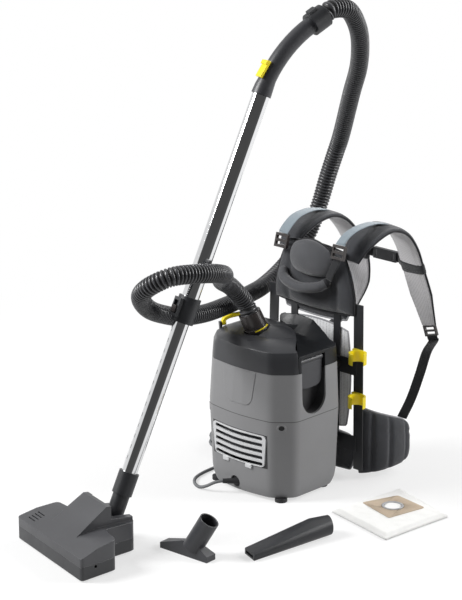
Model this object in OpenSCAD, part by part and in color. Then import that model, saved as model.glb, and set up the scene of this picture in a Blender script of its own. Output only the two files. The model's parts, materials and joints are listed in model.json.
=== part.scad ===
// Backpack vacuum cleaner: motor housing on a padded carrying harness, with a
// ribbed hose, a bent handle, a telescopic wand and a turbine floor nozzle.
// Frame: Z up, the floor at z = 0 under the middle of the housing,
// -Y is the side with the exhaust grille, +Y is the side of the wearer.

/* [Housing] */
// Width of the housing at the middle seam
body_w = 248; // [230:1:270]
// Reach of the grille side from the centre
body_front = 95; // [88:1:105]
// Reach of the wearer's side from the centre
body_back = 90; // [84:1:96]
// Size of the front corner chamfers
chamfer = 38; // [30:1:46]
// How far the front swells between the chamfers
front_bulge = 6; // [3:1:9]
// Height of the underside over the floor
foot_h = 8; // [6:1:10]
// Height of the middle seam
seam_z = 178; // [170:1:186]
// Height of the seam under the lid
cap_z = 277; // [270:1:284]
// Height of the lid over its seam
lid_h = 56; // [50:1:60]
// Wall of the plastic shells
wall = 3; // [2.5:0.5:4]

/* [Motor and filter] */
// Diameter of the suction motor
motor_d = 112; // [100:1:124]
// Height of the suction motor
motor_h = 88; // [80:1:96]
// Diameter of the motor shaft
shaft_d = 10; // [8:1:12]
// Diameter of the filter basket
basket_d = 150; // [144:1:152]
// Height of the filter basket
basket_h = 128; // [120:1:132]

/* [Hose and cuffs] */
// Outer diameter of the hose
hose_od = 38; // [36:1:40]
// Bore of the hose
hose_bore = 30; // [28:1:32]
// Number of ribs on the hose
hose_ribs = 100; // [80:1:105]
// Outer diameter of the inlet cuff
cuff_od = 52; // [50:1:54]
// Length of the inlet cuff
cuff_len = 40; // [38:1:42]
// Length of the cuff on the handle
handle_cuff_len = 36; // [34:1:38]

/* [Wand] */
// Outer diameter of the upper wand tube
tube_d = 35; // [34:0.5:37]
// Wall of both wand tubes
tube_wall = 1.5; // [1:0.25:1.75]
// Radial play between the two wand tubes
tube_play = 0.3; // [0.2:0.1:0.4]
// Lean of the wand from the vertical
wand_lean = 23.2; // [22:0.1:24]
// Compass direction of the lean, from +X towards +Y
wand_turn = 77.1; // [76:0.1:78]
// Distance from the nozzle pivot to the foot of the upper tube
collar_at = 422; // [416:1:428]
// Distance from the nozzle pivot to the top of the upper tube
tube_top = 888; // [884:1:892]
// Radius of the handle's bend
handle_bend_r = 254; // [246:1:262]
// Angle of the handle's bend
handle_bend_a = 39; // [38:1:40]

/* [Floor nozzle] */
// Width of the floor nozzle
nozzle_w = 256; // [240:1:270]
// Reach of the nozzle ahead of its pivot
nozzle_reach = 138; // [132:1:144]
// Height of the nozzle's seam
nozzle_seam = 30; // [28:1:32]
// Diameter of the brush roller with its tufts
brush_d = 46; // [42:1:48]
// Diameter of the neck's knuckle
knuckle_d = 40; // [38:1:42]

/* [Harness] */
// Distance between the middles of the two struts
strut_gap = 236; // [230:1:240]
// Width of a strut
strut_w = 26; // [22:1:28]
// Height of the struts' upper ends
strut_top = 384; // [380:1:390]
// Width of a shoulder strap
strap_w = 66; // [60:1:70]
// Thickness of a shoulder strap
strap_t = 15; // [12:1:17]
// Width of the webbing
webbing_w = 25; // [22:1:28]
// Bore of a tool clip
clip_bore = 30; // [28:1:31]

/* [Mains cord] */
// Diameter of the mains cord
cord_d = 7; // [6.5:0.1:7.5]
// Diameter of the coil at the middle of its turns
coil_mean_d = 84; // [80:1:88]
// Turns of the stored coil
coil_turns = 18.25; // [14.25:2:18.25]

/* [Loose tools] */
// Bore of the loose tools' sockets
tool_bore = 35; // [34:0.5:36]

/* [Hidden] */
$fn = 48;

// Clearances between neighbouring pieces
fit = 0.3;
run_fit = 0.05;

// Housing, from the ground up
base_hx = body_w/2 - 5;
lid_hx = body_w/2 - 4;
lid_top = cap_z + lid_h;
floor_t = 4;
grille_z = 110;
grille_w = 152;
grille_h = 70;
cord_hole = [-10, -body_front, 26];
cord_hole_d = 25;
pocket_y = [-33, 38];
pocket_bottom = 184;
pocket_depth = 24;
flap_z = [238, 303];
flap_hinge = [lid_hx - 9, 2.5, flap_z[1] - 5];
pin_d = 4;

// Motor and basket stand on one axis; the basket hangs by its rim on a shelf
motor_axis = [0, 2];
motor_z = 40;
shelf_z = cap_z - 10;
shelf_t = 4;
rim_t = 4;
basket_z = shelf_z + shelf_t + rim_t + fit - basket_h;
rim_d = basket_d + 12;
switch_d = 22;
boss_at = [102, 62];
boss_d = 11;
screw_hole_d = 4;
switch_pos = [-body_w/2, 20, 236];

// Inlet on the lid, and its swivelling cuff
inlet_pos = [-18, -16, 332];
inlet_turn = 230;
inlet_lean = 23.5;
inlet_od = 46;
inlet_bore = 30;
inlet_neck = 26;
cuff_at = 6;

// Wand: all of it stands in the frame of the nozzle pivot
neck_pivot = [6, -460, 42];
lower_d = tube_d - 2*tube_wall - 2*tube_play;
stub_len = 16;
lower_foot = 96;
lower_top = 512;
neck_top = 112;
collar_len = 52;
slider_at = 22;
handle_d = 34;
handle_foot = tube_top - 24;
air_slot_at = 938;

// Nozzle, in the frame of its own pivot
brush_y = -104;
brush_z = 25;
knuckle_w = 50;
neck_slot = knuckle_w + 6;

// Struts, seen from the side: where they are at the top and at the floor
strut_top_y = 142;
strut_foot_y = 141;
strut_foot_z = 22;
strut_t = 3;
rail_z = [78, 246];
rail_h = 34;
inner_bar_x = 60;
inner_bar_w = 18;
rail_boss_x = 62;
rail_boss_d = 22;
rail_bore_d = 6;

// Shoulder straps, lower webbing and lifters, each as chosen points
strap_right = [
    [88, 147, 471], [91, 169, 500], [95, 203, 519], [97, 243, 526], [97, 287, 508],
    [97, 320, 468], [98, 343, 415], [108, 361, 350], [124, 368, 290]
];
strap_left = [
    [-84, 147, 471], [-85, 169, 498], [-84, 207, 516], [-82, 255, 522], [-80, 298, 504],
    [-78, 336, 463], [-78, 364, 412], [-92, 382, 350], [-114, 386, 290]
];
lock_len = 24;
lower_right = [[156, 244, 119.6], [156, 274, 156], [152, 306, 202], [143, 338, 240]];
lower_left = [[-156, 244, 119.6], [-156, 280, 156], [-150, 318, 202], [-138, 354, 240]];
buckle_lean = -15;
buckle_right = [84, 116.5, 494];
buckle_left = [-75, 116.5, 490];
lifter_right = [
    [84, 120.6, 509.2], [84, 122.1, 511.8], [84, 123.6, 514.4], [86, 141, 528], [90, 169, 538],
    [94, 207, 541], [97, 243, 534.8]
];
lifter_left = [
    [-75, 120.6, 505.2], [-75, 122.1, 507.8], [-75, 123.6, 510.4], [-76, 141, 524], [-79, 169, 535],
    [-81, 212, 538], [-82, 255, 530.8]
];
buckle_at = [-32, 362, 411];
buckle_size = [64, 9, 24];
sternum_left = [[-43.2, 357.5, 425], [-40, 363, 424], [-37, 366, 423], [-34.7, 366, 423], [-32.4, 366, 423]];
sternum_right = [[32.4, 366, 423], [34.7, 366, 423], [37, 366, 423], [48, 356, 424], [64.4, 343, 425]];

// Hose between the inlet cuff and the handle cuff
hose_mid = [
    [-38, -74, 436], [-20, -121, 463], [28, -168, 489], [85, -226, 520], [112, -300, 543],
    [104, -375, 552], [73, -402, 535], [36, -397, 508], [4, -366, 478], [-22, -320, 446],
    [-42, -265, 420], [-57, -200, 397], [-69, -120, 384], [-86, -40, 379], [-114, 25, 371],
    [-143, 90, 364], [-156, 143, 366], [-160, 195, 384], [-160, 245, 415], [-157, 292, 459],
    [-150, 318, 518], [-138, 329, 577], [-121, 334, 632], [-96, 325, 680], [-15, 262, 790],
    [40, 220, 862], [80, 176, 926], [106, 132, 972], [121, 88, 1004]
];

// Mains cord: from the gland round the left side of the housing to the coil
gland_turn = -45;
gland_seat = [-5, -body_front + 9, 26];
gland_len = 34;
cord_mid = [
    [-42, -121, 22], [-58, -128, 12], [-78, -129, 4.5], [-102, -119, 3.5], [-122, -96, 3.5],
    [-132, -60, 3.5], [-134.5, -15, 3.5], [-134.5, 35, 3.5], [-134.5, 75, 3.5]
];
coil_centre = [-194, 106];
coil_layers = 4;
coil_rings = 14;
coil_sides = 6;
coil_pitch = cord_d + 1.6;
coil_rise = cord_d + 0.6;
clip_out = 16;
clip_z = [182, 277];
coil_tail = [
    [-208, 170, 26.3], [-223, 175, 22], [-236, 184, 16], [-243, 197, 13], [-244, 210, 13], [-244, 218, 13]
];

// ---------------------------------------------------------------- helpers

function unit(v) = v/norm(v);

// A polygon with each corner rounded by its own radius
function rounded(p, r, n = 3) = [
    for (i = [0:len(p) - 1])
        let (
            a = p[(i + len(p) - 1) % len(p)],
            b = p[i],
            c = p[(i + 1) % len(p)],
            u = b + unit(a - b)*min(r[i], norm(a - b)*0.48),
            w = b + unit(c - b)*min(r[i], norm(c - b)*0.48)
        )
        for (k = [0:n])
            let (t = k/n)
            (1 - t)*(1 - t)*u + 2*t*(1 - t)*b + t*t*w
];

function at_height(p, z) = [for (q = p) [q.x, q.y, z]];

// A smooth curve through points, with n steps between two of them
function smooth(p, n = 6) = [
    for (i = [0:len(p) - 2])
        let (
            a = i > 0 ? p[i - 1] : 2*p[0] - p[1],
            b = p[i],
            c = p[i + 1],
            d = i + 2 < len(p) ? p[i + 2] : 2*p[i + 1] - p[i]
        )
        for (k = [0:(i < len(p) - 2 ? n - 1 : n)])
            let (t = k/n)
            0.5*(2*b + (c - a)*t + (2*a - 5*b + 4*c - d)*t*t + (3*b - a - 3*c + d)*t*t*t)
];

function run_lengths(p) = [
    for (i = 0, s = 0; i < len(p); i = i + 1, s = i < len(p) ? s + norm(p[i] - p[i - 1]) : s) s
];

// The point at each of the given lengths along a curve
function along(p, at) =
    let (
        s = run_lengths(p),
        tx = [for (i = [0:len(p) - 1]) [s[i], p[i].x]],
        ty = [for (i = [0:len(p) - 1]) [s[i], p[i].y]],
        tz = [for (i = [0:len(p) - 1]) [s[i], p[i].z]]
    )
    [for (d = at) [lookup(d, tx), lookup(d, ty), lookup(d, tz)]];

function heading(p, i) =
    unit(p[min(i + 1, len(p) - 1)] - p[max(i - 1, 0)]);

function square_to(v, t) = unit(v - (v*t)*t);

// A sideways direction at each point, carried along without twist
function sideways(p, first) = [
    for (
        i = 0, s = square_to(first, heading(p, 0));
        i < len(p);
        i = i + 1, s = i < len(p) ? square_to(s, heading(p, i)) : s
    ) s
];

// Round rings along a curve, r gives the radius of each
function round_rings(p, r, sides, first = [0, 0, 1]) =
    let (side = sideways(p, first))
    [
        for (i = [0:len(p) - 1])
            let (up = cross(heading(p, i), side[i]))
            [for (k = [0:sides - 1]) p[i] + r[i]*(cos(360*k/sides)*side[i] + sin(360*k/sides)*up)]
    ];

// Flat rings along a curve: shape is drawn with x across and y outwards
function flat_rings(p, shape, across = [1, 0, 0], size = undef) = [
    for (i = [0:len(p) - 1])
        let (
            t = heading(p, i),
            s = square_to(across, t),
            out = cross(t, s),
            k = size == undef ? 1 : size[i]
        )
        [for (q = shape) p[i] + k*q.x*s + q.y*out]
];

// A closed solid through rings that have the same number of points
module loft(rings) {
    n = len(rings[0]);
    m = len(rings);
    polyhedron(
        points = [for (r = rings) for (p = r) p],
        faces = concat(
            [[for (i = [0:n - 1]) i]],
            [[for (i = [n - 1:-1:0]) (m - 1)*n + i]],
            [for (j = [0:m - 2]) for (i = [0:n - 1])
                [j*n + i, (j + 1)*n + i, (j + 1)*n + (i + 1) % n]],
            [for (j = [0:m - 2]) for (i = [0:n - 1])
                [j*n + i, (j + 1)*n + (i + 1) % n, j*n + (i + 1) % n]]
        )
    );
}

// A closed solid between two grids of points, the upper one first
module slab(upper, lower) {
    n = len(upper);
    m = len(upper[0]);
    o = n*m;
    rim = concat(
        [for (i = [0:n - 2]) i*m],
        [for (j = [0:m - 2]) (n - 1)*m + j],
        [for (i = [n - 1:-1:1]) i*m + m - 1],
        [for (j = [m - 1:-1:1]) j]
    );
    polyhedron(
        points = concat([for (r = upper) for (p = r) p], [for (r = lower) for (p = r) p]),
        faces = concat(
            [for (i = [0:n - 2]) for (j = [0:m - 2]) [i*m + j, i*m + j + 1, (i + 1)*m + j + 1]],
            [for (i = [0:n - 2]) for (j = [0:m - 2]) [i*m + j, (i + 1)*m + j + 1, (i + 1)*m + j]],
            [for (i = [0:n - 2]) for (j = [0:m - 2])
                [o + i*m + j, o + (i + 1)*m + j + 1, o + i*m + j + 1]],
            [for (i = [0:n - 2]) for (j = [0:m - 2])
                [o + i*m + j, o + (i + 1)*m + j, o + (i + 1)*m + j + 1]],
            [for (k = [0:len(rim) - 1]) [o + rim[k], rim[k], rim[(k + 1) % len(rim)]]],
            [for (k = [0:len(rim) - 1])
                [o + rim[k], rim[(k + 1) % len(rim)], o + rim[(k + 1) % len(rim)]]]
        )
    );
}

module ring(od, id, h) {
    difference() {
        cylinder(d = od, h = h);
        translate([0, 0, -1]) cylinder(d = id, h = h + 2);
    }
}

// ---------------------------------------------------------------- frames

module at_inlet() {
    translate(inlet_pos) rotate([0, 0, inlet_turn]) rotate([0, inlet_lean, 0]) children();
}

module at_wand() {
    translate(neck_pivot) rotate([0, 0, wand_turn]) rotate([0, wand_lean, 0]) children();
}

// The nozzle's frame: x along its width, y towards the wand
module at_nozzle() {
    translate([neck_pivot.x, neck_pivot.y, 0]) rotate([0, 0, wand_turn - 90]) children();
}

function turned(p, lean, turn) =
    let (q = [p.x*cos(lean) + p.z*sin(lean), p.y, p.z*cos(lean) - p.x*sin(lean)])
    [q.x*cos(turn) - q.y*sin(turn), q.x*sin(turn) + q.y*cos(turn), q.z];

function inlet_point(d) = inlet_pos + turned([0, 0, d], inlet_lean, inlet_turn);

function wand_point(p) = neck_pivot + turned(p, wand_lean, wand_turn);

// A point d beyond the end of the handle's bend
function handle_point(d) = wand_point([
    handle_bend_r*(1 - cos(handle_bend_a)) + d*sin(handle_bend_a),
    0,
    tube_top + handle_bend_r*sin(handle_bend_a) + d*cos(handle_bend_a)
]);

module at_handle_end() {
    at_wand()
        translate([handle_bend_r*(1 - cos(handle_bend_a)), 0, tube_top + handle_bend_r*sin(handle_bend_a)])
            rotate([0, handle_bend_a, 0]) children();
}

// ---------------------------------------------------------------- housing

// Outline of the housing at half width hx
function body_plan(hx, front, back, cut) = rounded(
    [
        [-(hx - cut), -front + front_bulge], [0, -front - front_bulge], [hx - cut, -front + front_bulge],
        [hx, -front + front_bulge + cut], [hx, back], [-hx, back], [-hx, -front + front_bulge + cut]
    ],
    [12, body_w, 12, 12, 24, 24, 12]
);

function body_hx(z) = z < seam_z
    ? base_hx + (body_w/2 - base_hx)*(z - foot_h)/(seam_z - foot_h)
    : body_w/2 + (lid_hx - body_w/2)*(z - seam_z)/(cap_z - seam_z);

// Ring of the housing at height z, set in by an amount
function body_ring(z, inset = 0) =
    let (hx = body_hx(z), shrink = body_w/2 - hx)
    at_height(body_plan(hx - inset, body_front - shrink - inset, body_back - shrink*0.5 - inset, chamfer - inset*0.4), z);

// How much the shell draws in towards the underside
function tuck(z) = z < foot_h + 34 ? 7*pow(1 - (z - foot_h)/34, 2) : 0;

// Rear face of the housing at height z
function back_y(z) = body_back - (body_w/2 - body_hx(z))*0.5;

module body_shell(heights) {
    last = heights[len(heights) - 1];
    difference() {
        loft([for (z = heights) body_ring(z, tuck(z))]);
        loft(concat(
            [[for (p = body_ring(heights[0], wall + tuck(heights[0]))) [p.x, p.y, heights[0] - 1]]],
            [for (z = heights) body_ring(z, wall + tuck(z))],
            [[for (p = body_ring(last, wall)) [p.x, p.y, last + 1]]]
        ));
    }
}

// A flat plate that fills the housing between two heights
module inner_plate(z0, z1, gap) {
    loft([
        for (z = [z0, z1])
            [for (p = body_ring(z0, wall + tuck(z0) + gap)) [p.x, p.y, z]]
    ]);
}

module grille_outline(grow = 0) {
    translate([0, -body_front - 12, grille_z]) rotate([-90, 0, 0]) linear_extrude(height = 40)
        polygon(rounded(
            [
                [-grille_w/2 - grow, -grille_h/2 - grow], [grille_w/2 + grow, -grille_h/2 - grow],
                [grille_w/2 - 6 + grow, grille_h/2 + grow], [-grille_w/2 + 6 - grow, grille_h/2 + grow]
            ],
            [10, 10, 10, 10], 4
        ));
}

module pocket_shape(inset, x0, x1) {
    r = (pocket_y[1] - pocket_y[0])/2 - inset;
    mid = (pocket_y[0] + pocket_y[1])/2;
    translate([x0, mid, 0]) rotate([90, 0, 90]) linear_extrude(height = x1 - x0)
        union() {
            translate([0, pocket_bottom + inset + r]) circle(r = r);
            translate([-r, pocket_bottom + inset + r]) square([2*r, cap_z - pocket_bottom - r]);
        }
}

module base_plate() {
    color("#4a4b4d") difference() {
        inner_plate(foot_h, foot_h + floor_t, fit);
        for (x = [-90, 90]) for (y = [-60, 64])
            translate([x, y, foot_h - 1]) cylinder(d = 5, h = floor_t + 2);
    }
}

module feet() {
    color("#232325") {
        for (x = [-90, 90]) for (y = [-60, 64])
            translate([x, y, 0]) cylinder(d = 26, h = foot_h);
        cylinder(d = 60, h = foot_h);
    }
}

// Bosses for the seam's screws, each on a rib from the side wall
module seam_bosses(z0, z1) {
    intersection() {
        for (s = [-1, 1]) translate([s*boss_at.x, boss_at.y, z0]) {
            cylinder(d = boss_d, h = z1 - z0);
            translate([s > 0 ? 0 : -30, -2, 0]) cube([30, 4, z1 - z0]);
        }
        loft([body_ring(z0, wall/2), body_ring(z1, wall/2)]);
    }
}

module seam_screw_holes(z, h) {
    for (s = [-1, 1]) translate([s*boss_at.x, boss_at.y, z]) cylinder(d = screw_hole_d, h = h);
}

module lower_housing() {
    color("#8b8c8e") difference() {
        union() {
            body_shell([foot_h, foot_h + 8, foot_h + 18, foot_h + 34, seam_z]);
            seam_bosses(seam_z - 30, seam_z);
        }
        grille_outline();
        translate([cord_hole.x, -40, cord_hole.z]) rotate([90, 0, 0]) cylinder(d = cord_hole_d, h = 100);
        seam_screw_holes(seam_z - 24, 30);
        for (a = [-1, 1]) translate([a*104, -76, 160]) rotate([90, 0, a*45])
            cylinder(d = 12, h = 5, center = true);
    }
}

module upper_housing() {
    color("#97989a") difference() {
        union() {
            body_shell([seam_z, cap_z]);
            intersection() {
                pocket_shape(-wall, lid_hx - pocket_depth - wall, lid_hx + 2);
                loft([body_ring(seam_z), body_ring(cap_z)]);
            }
            seam_bosses(seam_z, seam_z + 12);
            difference() {
                inner_plate(shelf_z, shelf_z + shelf_t, -0.5);
                translate([motor_axis.x, motor_axis.y, shelf_z - 1]) cylinder(d = basket_d + 2, h = shelf_t + 2);
            }
        }
        pocket_shape(0, lid_hx - pocket_depth, lid_hx + 30);
        seam_screw_holes(seam_z - 1, 20);
        translate([switch_pos.x - 10, switch_pos.y, switch_pos.z]) rotate([0, 90, 0])
            cylinder(d = switch_d + 6, h = 30);
    }
}

module housing_screws() {
    color("#77787a") for (s = [-1, 1]) translate([s*boss_at.x, boss_at.y, seam_z - 18]) {
        cylinder(d = screw_hole_d - 2*fit, h = 32);
        translate([0, 0, 30 + fit]) cylinder(d = 7, h = 3);
    }
}

module exhaust_grille() {
    bar_pitch = grille_h/5;
    color("#c9cacc") intersection() {
        difference() {
            loft([body_ring(foot_h + 4, -2), body_ring(seam_z - 4, -2)]);
            loft([
                [for (p = body_ring(foot_h, 2)) [p.x, p.y, foot_h]],
                [for (p = body_ring(seam_z, 2)) [p.x, p.y, seam_z]]
            ]);
        }
        difference() {
            grille_outline(-fit);
            for (i = [0:4])
                translate([0, -body_front - 14, grille_z - grille_h/2 + bar_pitch*(i + 0.5)])
                    rotate([-90, 0, 0]) linear_extrude(height = 44)
                        polygon(rounded(
                            [[-66, -4], [0, -4 + 1.5], [66, -4], [66, 4], [0, 4 + 1.5], [-66, 4]],
                            [3, 60, 3, 3, 60, 3], 4
                        ));
        }
    }
}

module exhaust_filter() {
    w = grille_w + 4;
    h = grille_h + 2;
    color("#e6e4dc") translate([-w/2, -body_front + front_bulge + wall + 6.6, grille_z - h/2])
        cube([w, 10, h]);
}

module motor() {
    color("#3a3c40") translate([motor_axis.x, motor_axis.y, 0]) difference() {
        union() {
            translate([0, 0, motor_z]) cylinder(d = motor_d, h = motor_h);
            translate([0, 0, motor_z - 14]) cylinder(d = 46, h = 14);
            for (a = [45:90:315]) rotate([0, 0, a])
                translate([16, -3, foot_h + floor_t + fit]) cube([10, 6, motor_z - foot_h - floor_t - fit]);
        }
        translate([0, 0, motor_z - 6]) cylinder(d = shaft_d + 2*run_fit, h = motor_h + 20);
        translate([0, 0, motor_z + motor_h - 26]) cylinder(d = motor_d - 8, h = 40);
    }
}

module motor_shaft() {
    color("#b9bcc0") translate([motor_axis.x, motor_axis.y, motor_z - 6 + fit])
        cylinder(d = shaft_d, h = motor_h + 4);
}

module impeller() {
    fan_z = motor_z + motor_h - 20;
    color("#d2d4d6") translate([motor_axis.x, motor_axis.y, fan_z]) difference() {
        union() {
            cylinder(d = motor_d - 16, h = 3);
            cylinder(d = shaft_d + 12, h = 14);
            for (a = [0:45:315]) rotate([0, 0, a])
                translate([10, -1, 3 - 0.5]) cube([(motor_d - 16)/2 - 13, 2, 11]);
        }
        translate([0, 0, -1]) cylinder(d = shaft_d, h = 20);
    }
}

module filter_basket() {
    color("#2c2d2f") translate([motor_axis.x, motor_axis.y, basket_z]) difference() {
        union() {
            cylinder(d = basket_d, h = basket_h);
            translate([0, 0, basket_h - rim_t]) cylinder(d = rim_d, h = rim_t);
        }
        translate([0, 0, 4]) cylinder(d = basket_d - 6, h = basket_h);
        translate([0, 0, -1]) cylinder(d = 50, h = 10);
        for (a = [0:30:330]) rotate([0, 0, a])
            translate([basket_d/2 - 10, -10, 16]) cube([20, 20, basket_h - 50]);
    }
}

module dust_bag() {
    d = basket_d - 12;
    color("#efece4") translate([motor_axis.x, motor_axis.y, basket_z + 4 + fit])
        rotate_extrude() polygon(rounded(
            [[0, 0], [d/2 - 8, 0], [d/2, 50], [d/2 - 4, 94], [26, 100], [0, 100]],
            [0.1, 16, 40, 22, 10, 0.1], 4
        ));
}

// ---------------------------------------------------------------- lid

// Line in plan between the lid and the tray, from the right side to the back
seam_line = [[140, -50], [104, -36], [78, -4], [52, 22], [20, 44], [-14, 62], [-44, 76], [-60, 110]];

function lid_ring(z, inset) =
    at_height(body_plan(lid_hx - inset, body_front - 4 - inset, body_back - 2 - inset, chamfer), z);

module lid_body(inset = 0) {
    top = lid_top - inset;
    loft([
        lid_ring(cap_z + (inset > 0 ? -1 : fit), inset), lid_ring(top - 24, 2 + inset),
        lid_ring(top - 12, 6 + inset), lid_ring(top - 4, 15 + inset), lid_ring(top, 28 + inset)
    ]);
}

// Prism over the tray's side of the seam line
module tray_side(grow = 0) {
    line = [for (p = seam_line) p + [grow*0.7, grow*0.7]];
    translate([0, 0, cap_z - 5]) linear_extrude(height = 120)
        polygon(concat(line, [[-60, 140], [160, 140], [160, -50 + grow]]));
}

// Rounded rise that carries the inlet and runs back to the tray
module inlet_rise() {
    difference() {
        loft([
            for (s = [0:5])
                let (z = lid_top - 22 + s*7, k = sqrt(max(0.02, 1 - pow(s/5.2, 2))))
                at_height([for (a = [0:24:336]) [12 + 62*k*cos(a), 4 + 52*k*sin(a)]], z)
        ]);
        tray_side();
    }
}

module lid() {
    color("#3d3e41") difference() {
        union() {
            difference() {
                union() {
                    lid_body();
                    inlet_rise();
                    lever_lugs();
                }
                lid_body(wall);
                tray_side();
            }
            at_inlet() translate([0, 0, -26]) cylinder(d = inlet_od + 14, h = 26);
        }
        at_inlet() translate([0, 0, -60]) cylinder(d = inlet_od + 2*fit, h = 100);
        at_inlet() cylinder(d = cuff_od + 4, h = 60);
        translate([-200, -200, cap_z - 60]) cube([400, 400, 60 + fit]);
        pocket_top(wall + fit);
    }
}

// Box over the upper part of the latch pocket, above the cap seam
module pocket_top(grow = 0) {
    translate([lid_hx - pocket_depth - grow, pocket_y[0] - grow, cap_z - 10])
        cube([60, pocket_y[1] - pocket_y[0] + 2*grow, flap_z[1] + 3 + grow - cap_z + 10]);
}

module lid_seal() {
    color("#1d1d1f") translate([motor_axis.x, motor_axis.y, basket_z + basket_h + fit])
        ring(rim_d - 2, basket_d - 4, cap_z - basket_z - basket_h - fit);
}

module inlet_port() {
    color("#2b2c2e") at_inlet() difference() {
        union() {
            translate([0, 0, -30]) cylinder(d = inlet_od, h = 30 + cuff_at);
            cylinder(d = cuff_od - 2, h = cuff_at - fit);
            cylinder(d = inlet_bore + 7, h = inlet_neck);
        }
        translate([0, 0, -40]) cylinder(d = inlet_bore, h = 100);
    }
}

module inlet_cuff() {
    color("#3a3330") at_inlet() translate([0, 0, cuff_at]) difference() {
        union() {
            cylinder(d = cuff_od, h = 8);
            translate([0, 0, 8]) cylinder(d1 = cuff_od - 3, d2 = hose_od + 9, h = cuff_len - 8);
        }
        translate([0, 0, -1]) cylinder(d = inlet_bore + 7 + 2*run_fit, h = inlet_neck - cuff_at + 2);
        translate([0, 0, inlet_neck - cuff_at]) cylinder(d = hose_bore, h = 60);
        translate([0, 0, cuff_len - 12]) cylinder(d = hose_od + 2*fit, h = 20);
    }
}

// The tray's height along its front seam and along its rear lip, over x
tray_front = [[-60, 338], [0, 332], [40, 324], [80, 314], [104, 311], [120, 313]];
tray_lip = [[-60, 338], [-30, 352], [3, 359], [42, 354], [66, 336], [92, 314], [120, 311]];
tray_seam_y = [[-60, 84], [-44, 76], [-14, 62], [20, 44], [52, 22], [78, -4], [104, -36], [120, -42]];

function tray_top(x, y) =
    let (
        from = lookup(x, tray_seam_y),
        v = max(0, min(1, (y - from)/(body_back - 4 - from))),
        front = lookup(x, tray_front),
        lip = lookup(x, tray_lip),
        dish = 8*max(0, min(1, (92 - x)/30))
    )
    front + (lip - front)*pow(v, 2.6) - dish*sin(180*min(1, v*1.3));

module rear_tray() {
    cols = 12;
    rows = 9;
    top = [
        for (i = [0:cols]) [
            for (j = [0:rows])
                let (x = -62 + (lid_hx + 62)*i/cols, y = -56 + (body_back - 2 + 56)*j/rows)
                [x, y, tray_top(x, y)]
        ]
    ];
    color("#17181a") difference() {
        union() {
            difference() {
                tray_form(top, cap_z + fit, 0, 0);
                translate([0, 0, -4]) tray_form(top, cap_z - 4, wall, wall*1.4);
            }
            intersection() {
                tray_form(top, cap_z + fit, 0, 0);
                pocket_top(wall);
            }
        }
        pocket_top();
    }
}

module tray_form(top, floor_z, inset, behind) {
    intersection() {
        slab(top, [for (c = top) [for (p = c) [p.x, p.y, floor_z]]]);
        loft([lid_ring(floor_z, inset), lid_ring(cap_z + 36, 2 + inset), lid_ring(cap_z + 100, 5 + inset)]);
        tray_side(fit + 1 + behind);
    }
}

module side_latch() {
    w = pocket_y[1] - pocket_y[0] - 6;
    mid = (pocket_y[0] + pocket_y[1])/2;
    color("#4a4b4e") difference() {
        union() {
            translate([lid_hx - 11, mid, 0]) rotate([90, 0, 90]) linear_extrude(height = 4)
                polygon(rounded(
                    [[-w/2, flap_z[0]], [w/2, flap_z[0]], [w/2, flap_z[1]], [-w/2, flap_z[1]]],
                    [22, 22, 2, 2], 6
                ));
            translate([flap_hinge.x, mid - w/2, flap_hinge.z]) rotate([-90, 0, 0])
                cylinder(d = 10, h = w);
        }
        translate([flap_hinge.x, mid - w, flap_hinge.z]) rotate([-90, 0, 0])
            cylinder(d = pin_d + 2*run_fit, h = 2*w);
    }
}

module latch_pin() {
    mid = (pocket_y[0] + pocket_y[1])/2;
    len = pocket_y[1] - pocket_y[0];
    color("#9a9c9e") translate([flap_hinge.x, mid - len/2, flap_hinge.z]) rotate([-90, 0, 0])
        cylinder(d = pin_d, h = len);
}

// Yellow bow on the left of the lid that pulls the lid's catch open.
// In its own frame x runs along the bow's pivot line and z up.
lever_foot = [-106, -34, 335.5];
lever_turn = 64;
lever_span = 74;
lever_rise = 7;
lever_pin_d = 4;
lever_boss = 9;

module at_lever() {
    translate(lever_foot) rotate([0, 0, lever_turn]) rotate([0, -atan2(lever_rise, lever_span), 0]) children();
}

module lever_lugs() {
    at_lever() for (x = [0, lever_span]) {
        translate([x + (x > 0 ? 0 : -5), -4, -16]) cube([5, 8, 20]);
        translate([x + (x > 0 ? -9 : -1), 0, 0]) rotate([0, 90, 0]) cylinder(d = lever_pin_d, h = 10);
    }
}

module lid_lever() {
    e = lever_boss/2;
    top = 12;
    path = smooth(
        [[e, 0, 0], [e + 1, 0, 6], [e + 7, 0, top - 2], [22, 0, top], [lever_span - 22, 0, top],
         [lever_span - e - 7, 0, top - 2], [lever_span - e - 1, 0, 6], [lever_span - e, 0, 0]],
        3
    );
    shape = rounded([[-6, -4], [6, -4], [6, 4], [-6, 4]], [3, 3, 3, 3], 2);
    color("#f2dc14") at_lever() difference() {
        union() {
            loft(flat_rings(path, shape, [0, 1, 0]));
            for (x = [fit, lever_span - lever_boss]) translate([x, 0, 0]) rotate([0, 90, 0])
                cylinder(d = 11, h = lever_boss - fit);
        }
        translate([-1, 0, 0]) rotate([0, 90, 0]) cylinder(d = lever_pin_d + 2*run_fit, h = lever_span + 2);
    }
}

module switch_bezel() {
    color("#232426") translate([switch_pos.x + 2, switch_pos.y, switch_pos.z]) rotate([0, 90, 0]) difference() {
        union() {
            translate([0, 0, -2.6]) cylinder(d = switch_d + 10, h = 2);
            translate([0, 0, -2.6]) cylinder(d = switch_d + 6 - 2*fit, h = 14);
        }
        translate([0, 0, -5]) cylinder(d = switch_d + 2*fit, h = 40);
    }
}

module power_switch() {
    color("#b02020") translate([switch_pos.x + 2, switch_pos.y, switch_pos.z]) rotate([0, 90, 0])
        translate([0, 0, -5.5]) cylinder(d = switch_d, h = 13);
}

// ---------------------------------------------------------------- mains cord

function gland_point(d) = gland_seat + d*[sin(gland_turn), -cos(gland_turn), 0];

module at_gland() {
    translate(gland_seat) rotate([0, 0, gland_turn]) rotate([90, 0, 0]) children();
}

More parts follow.
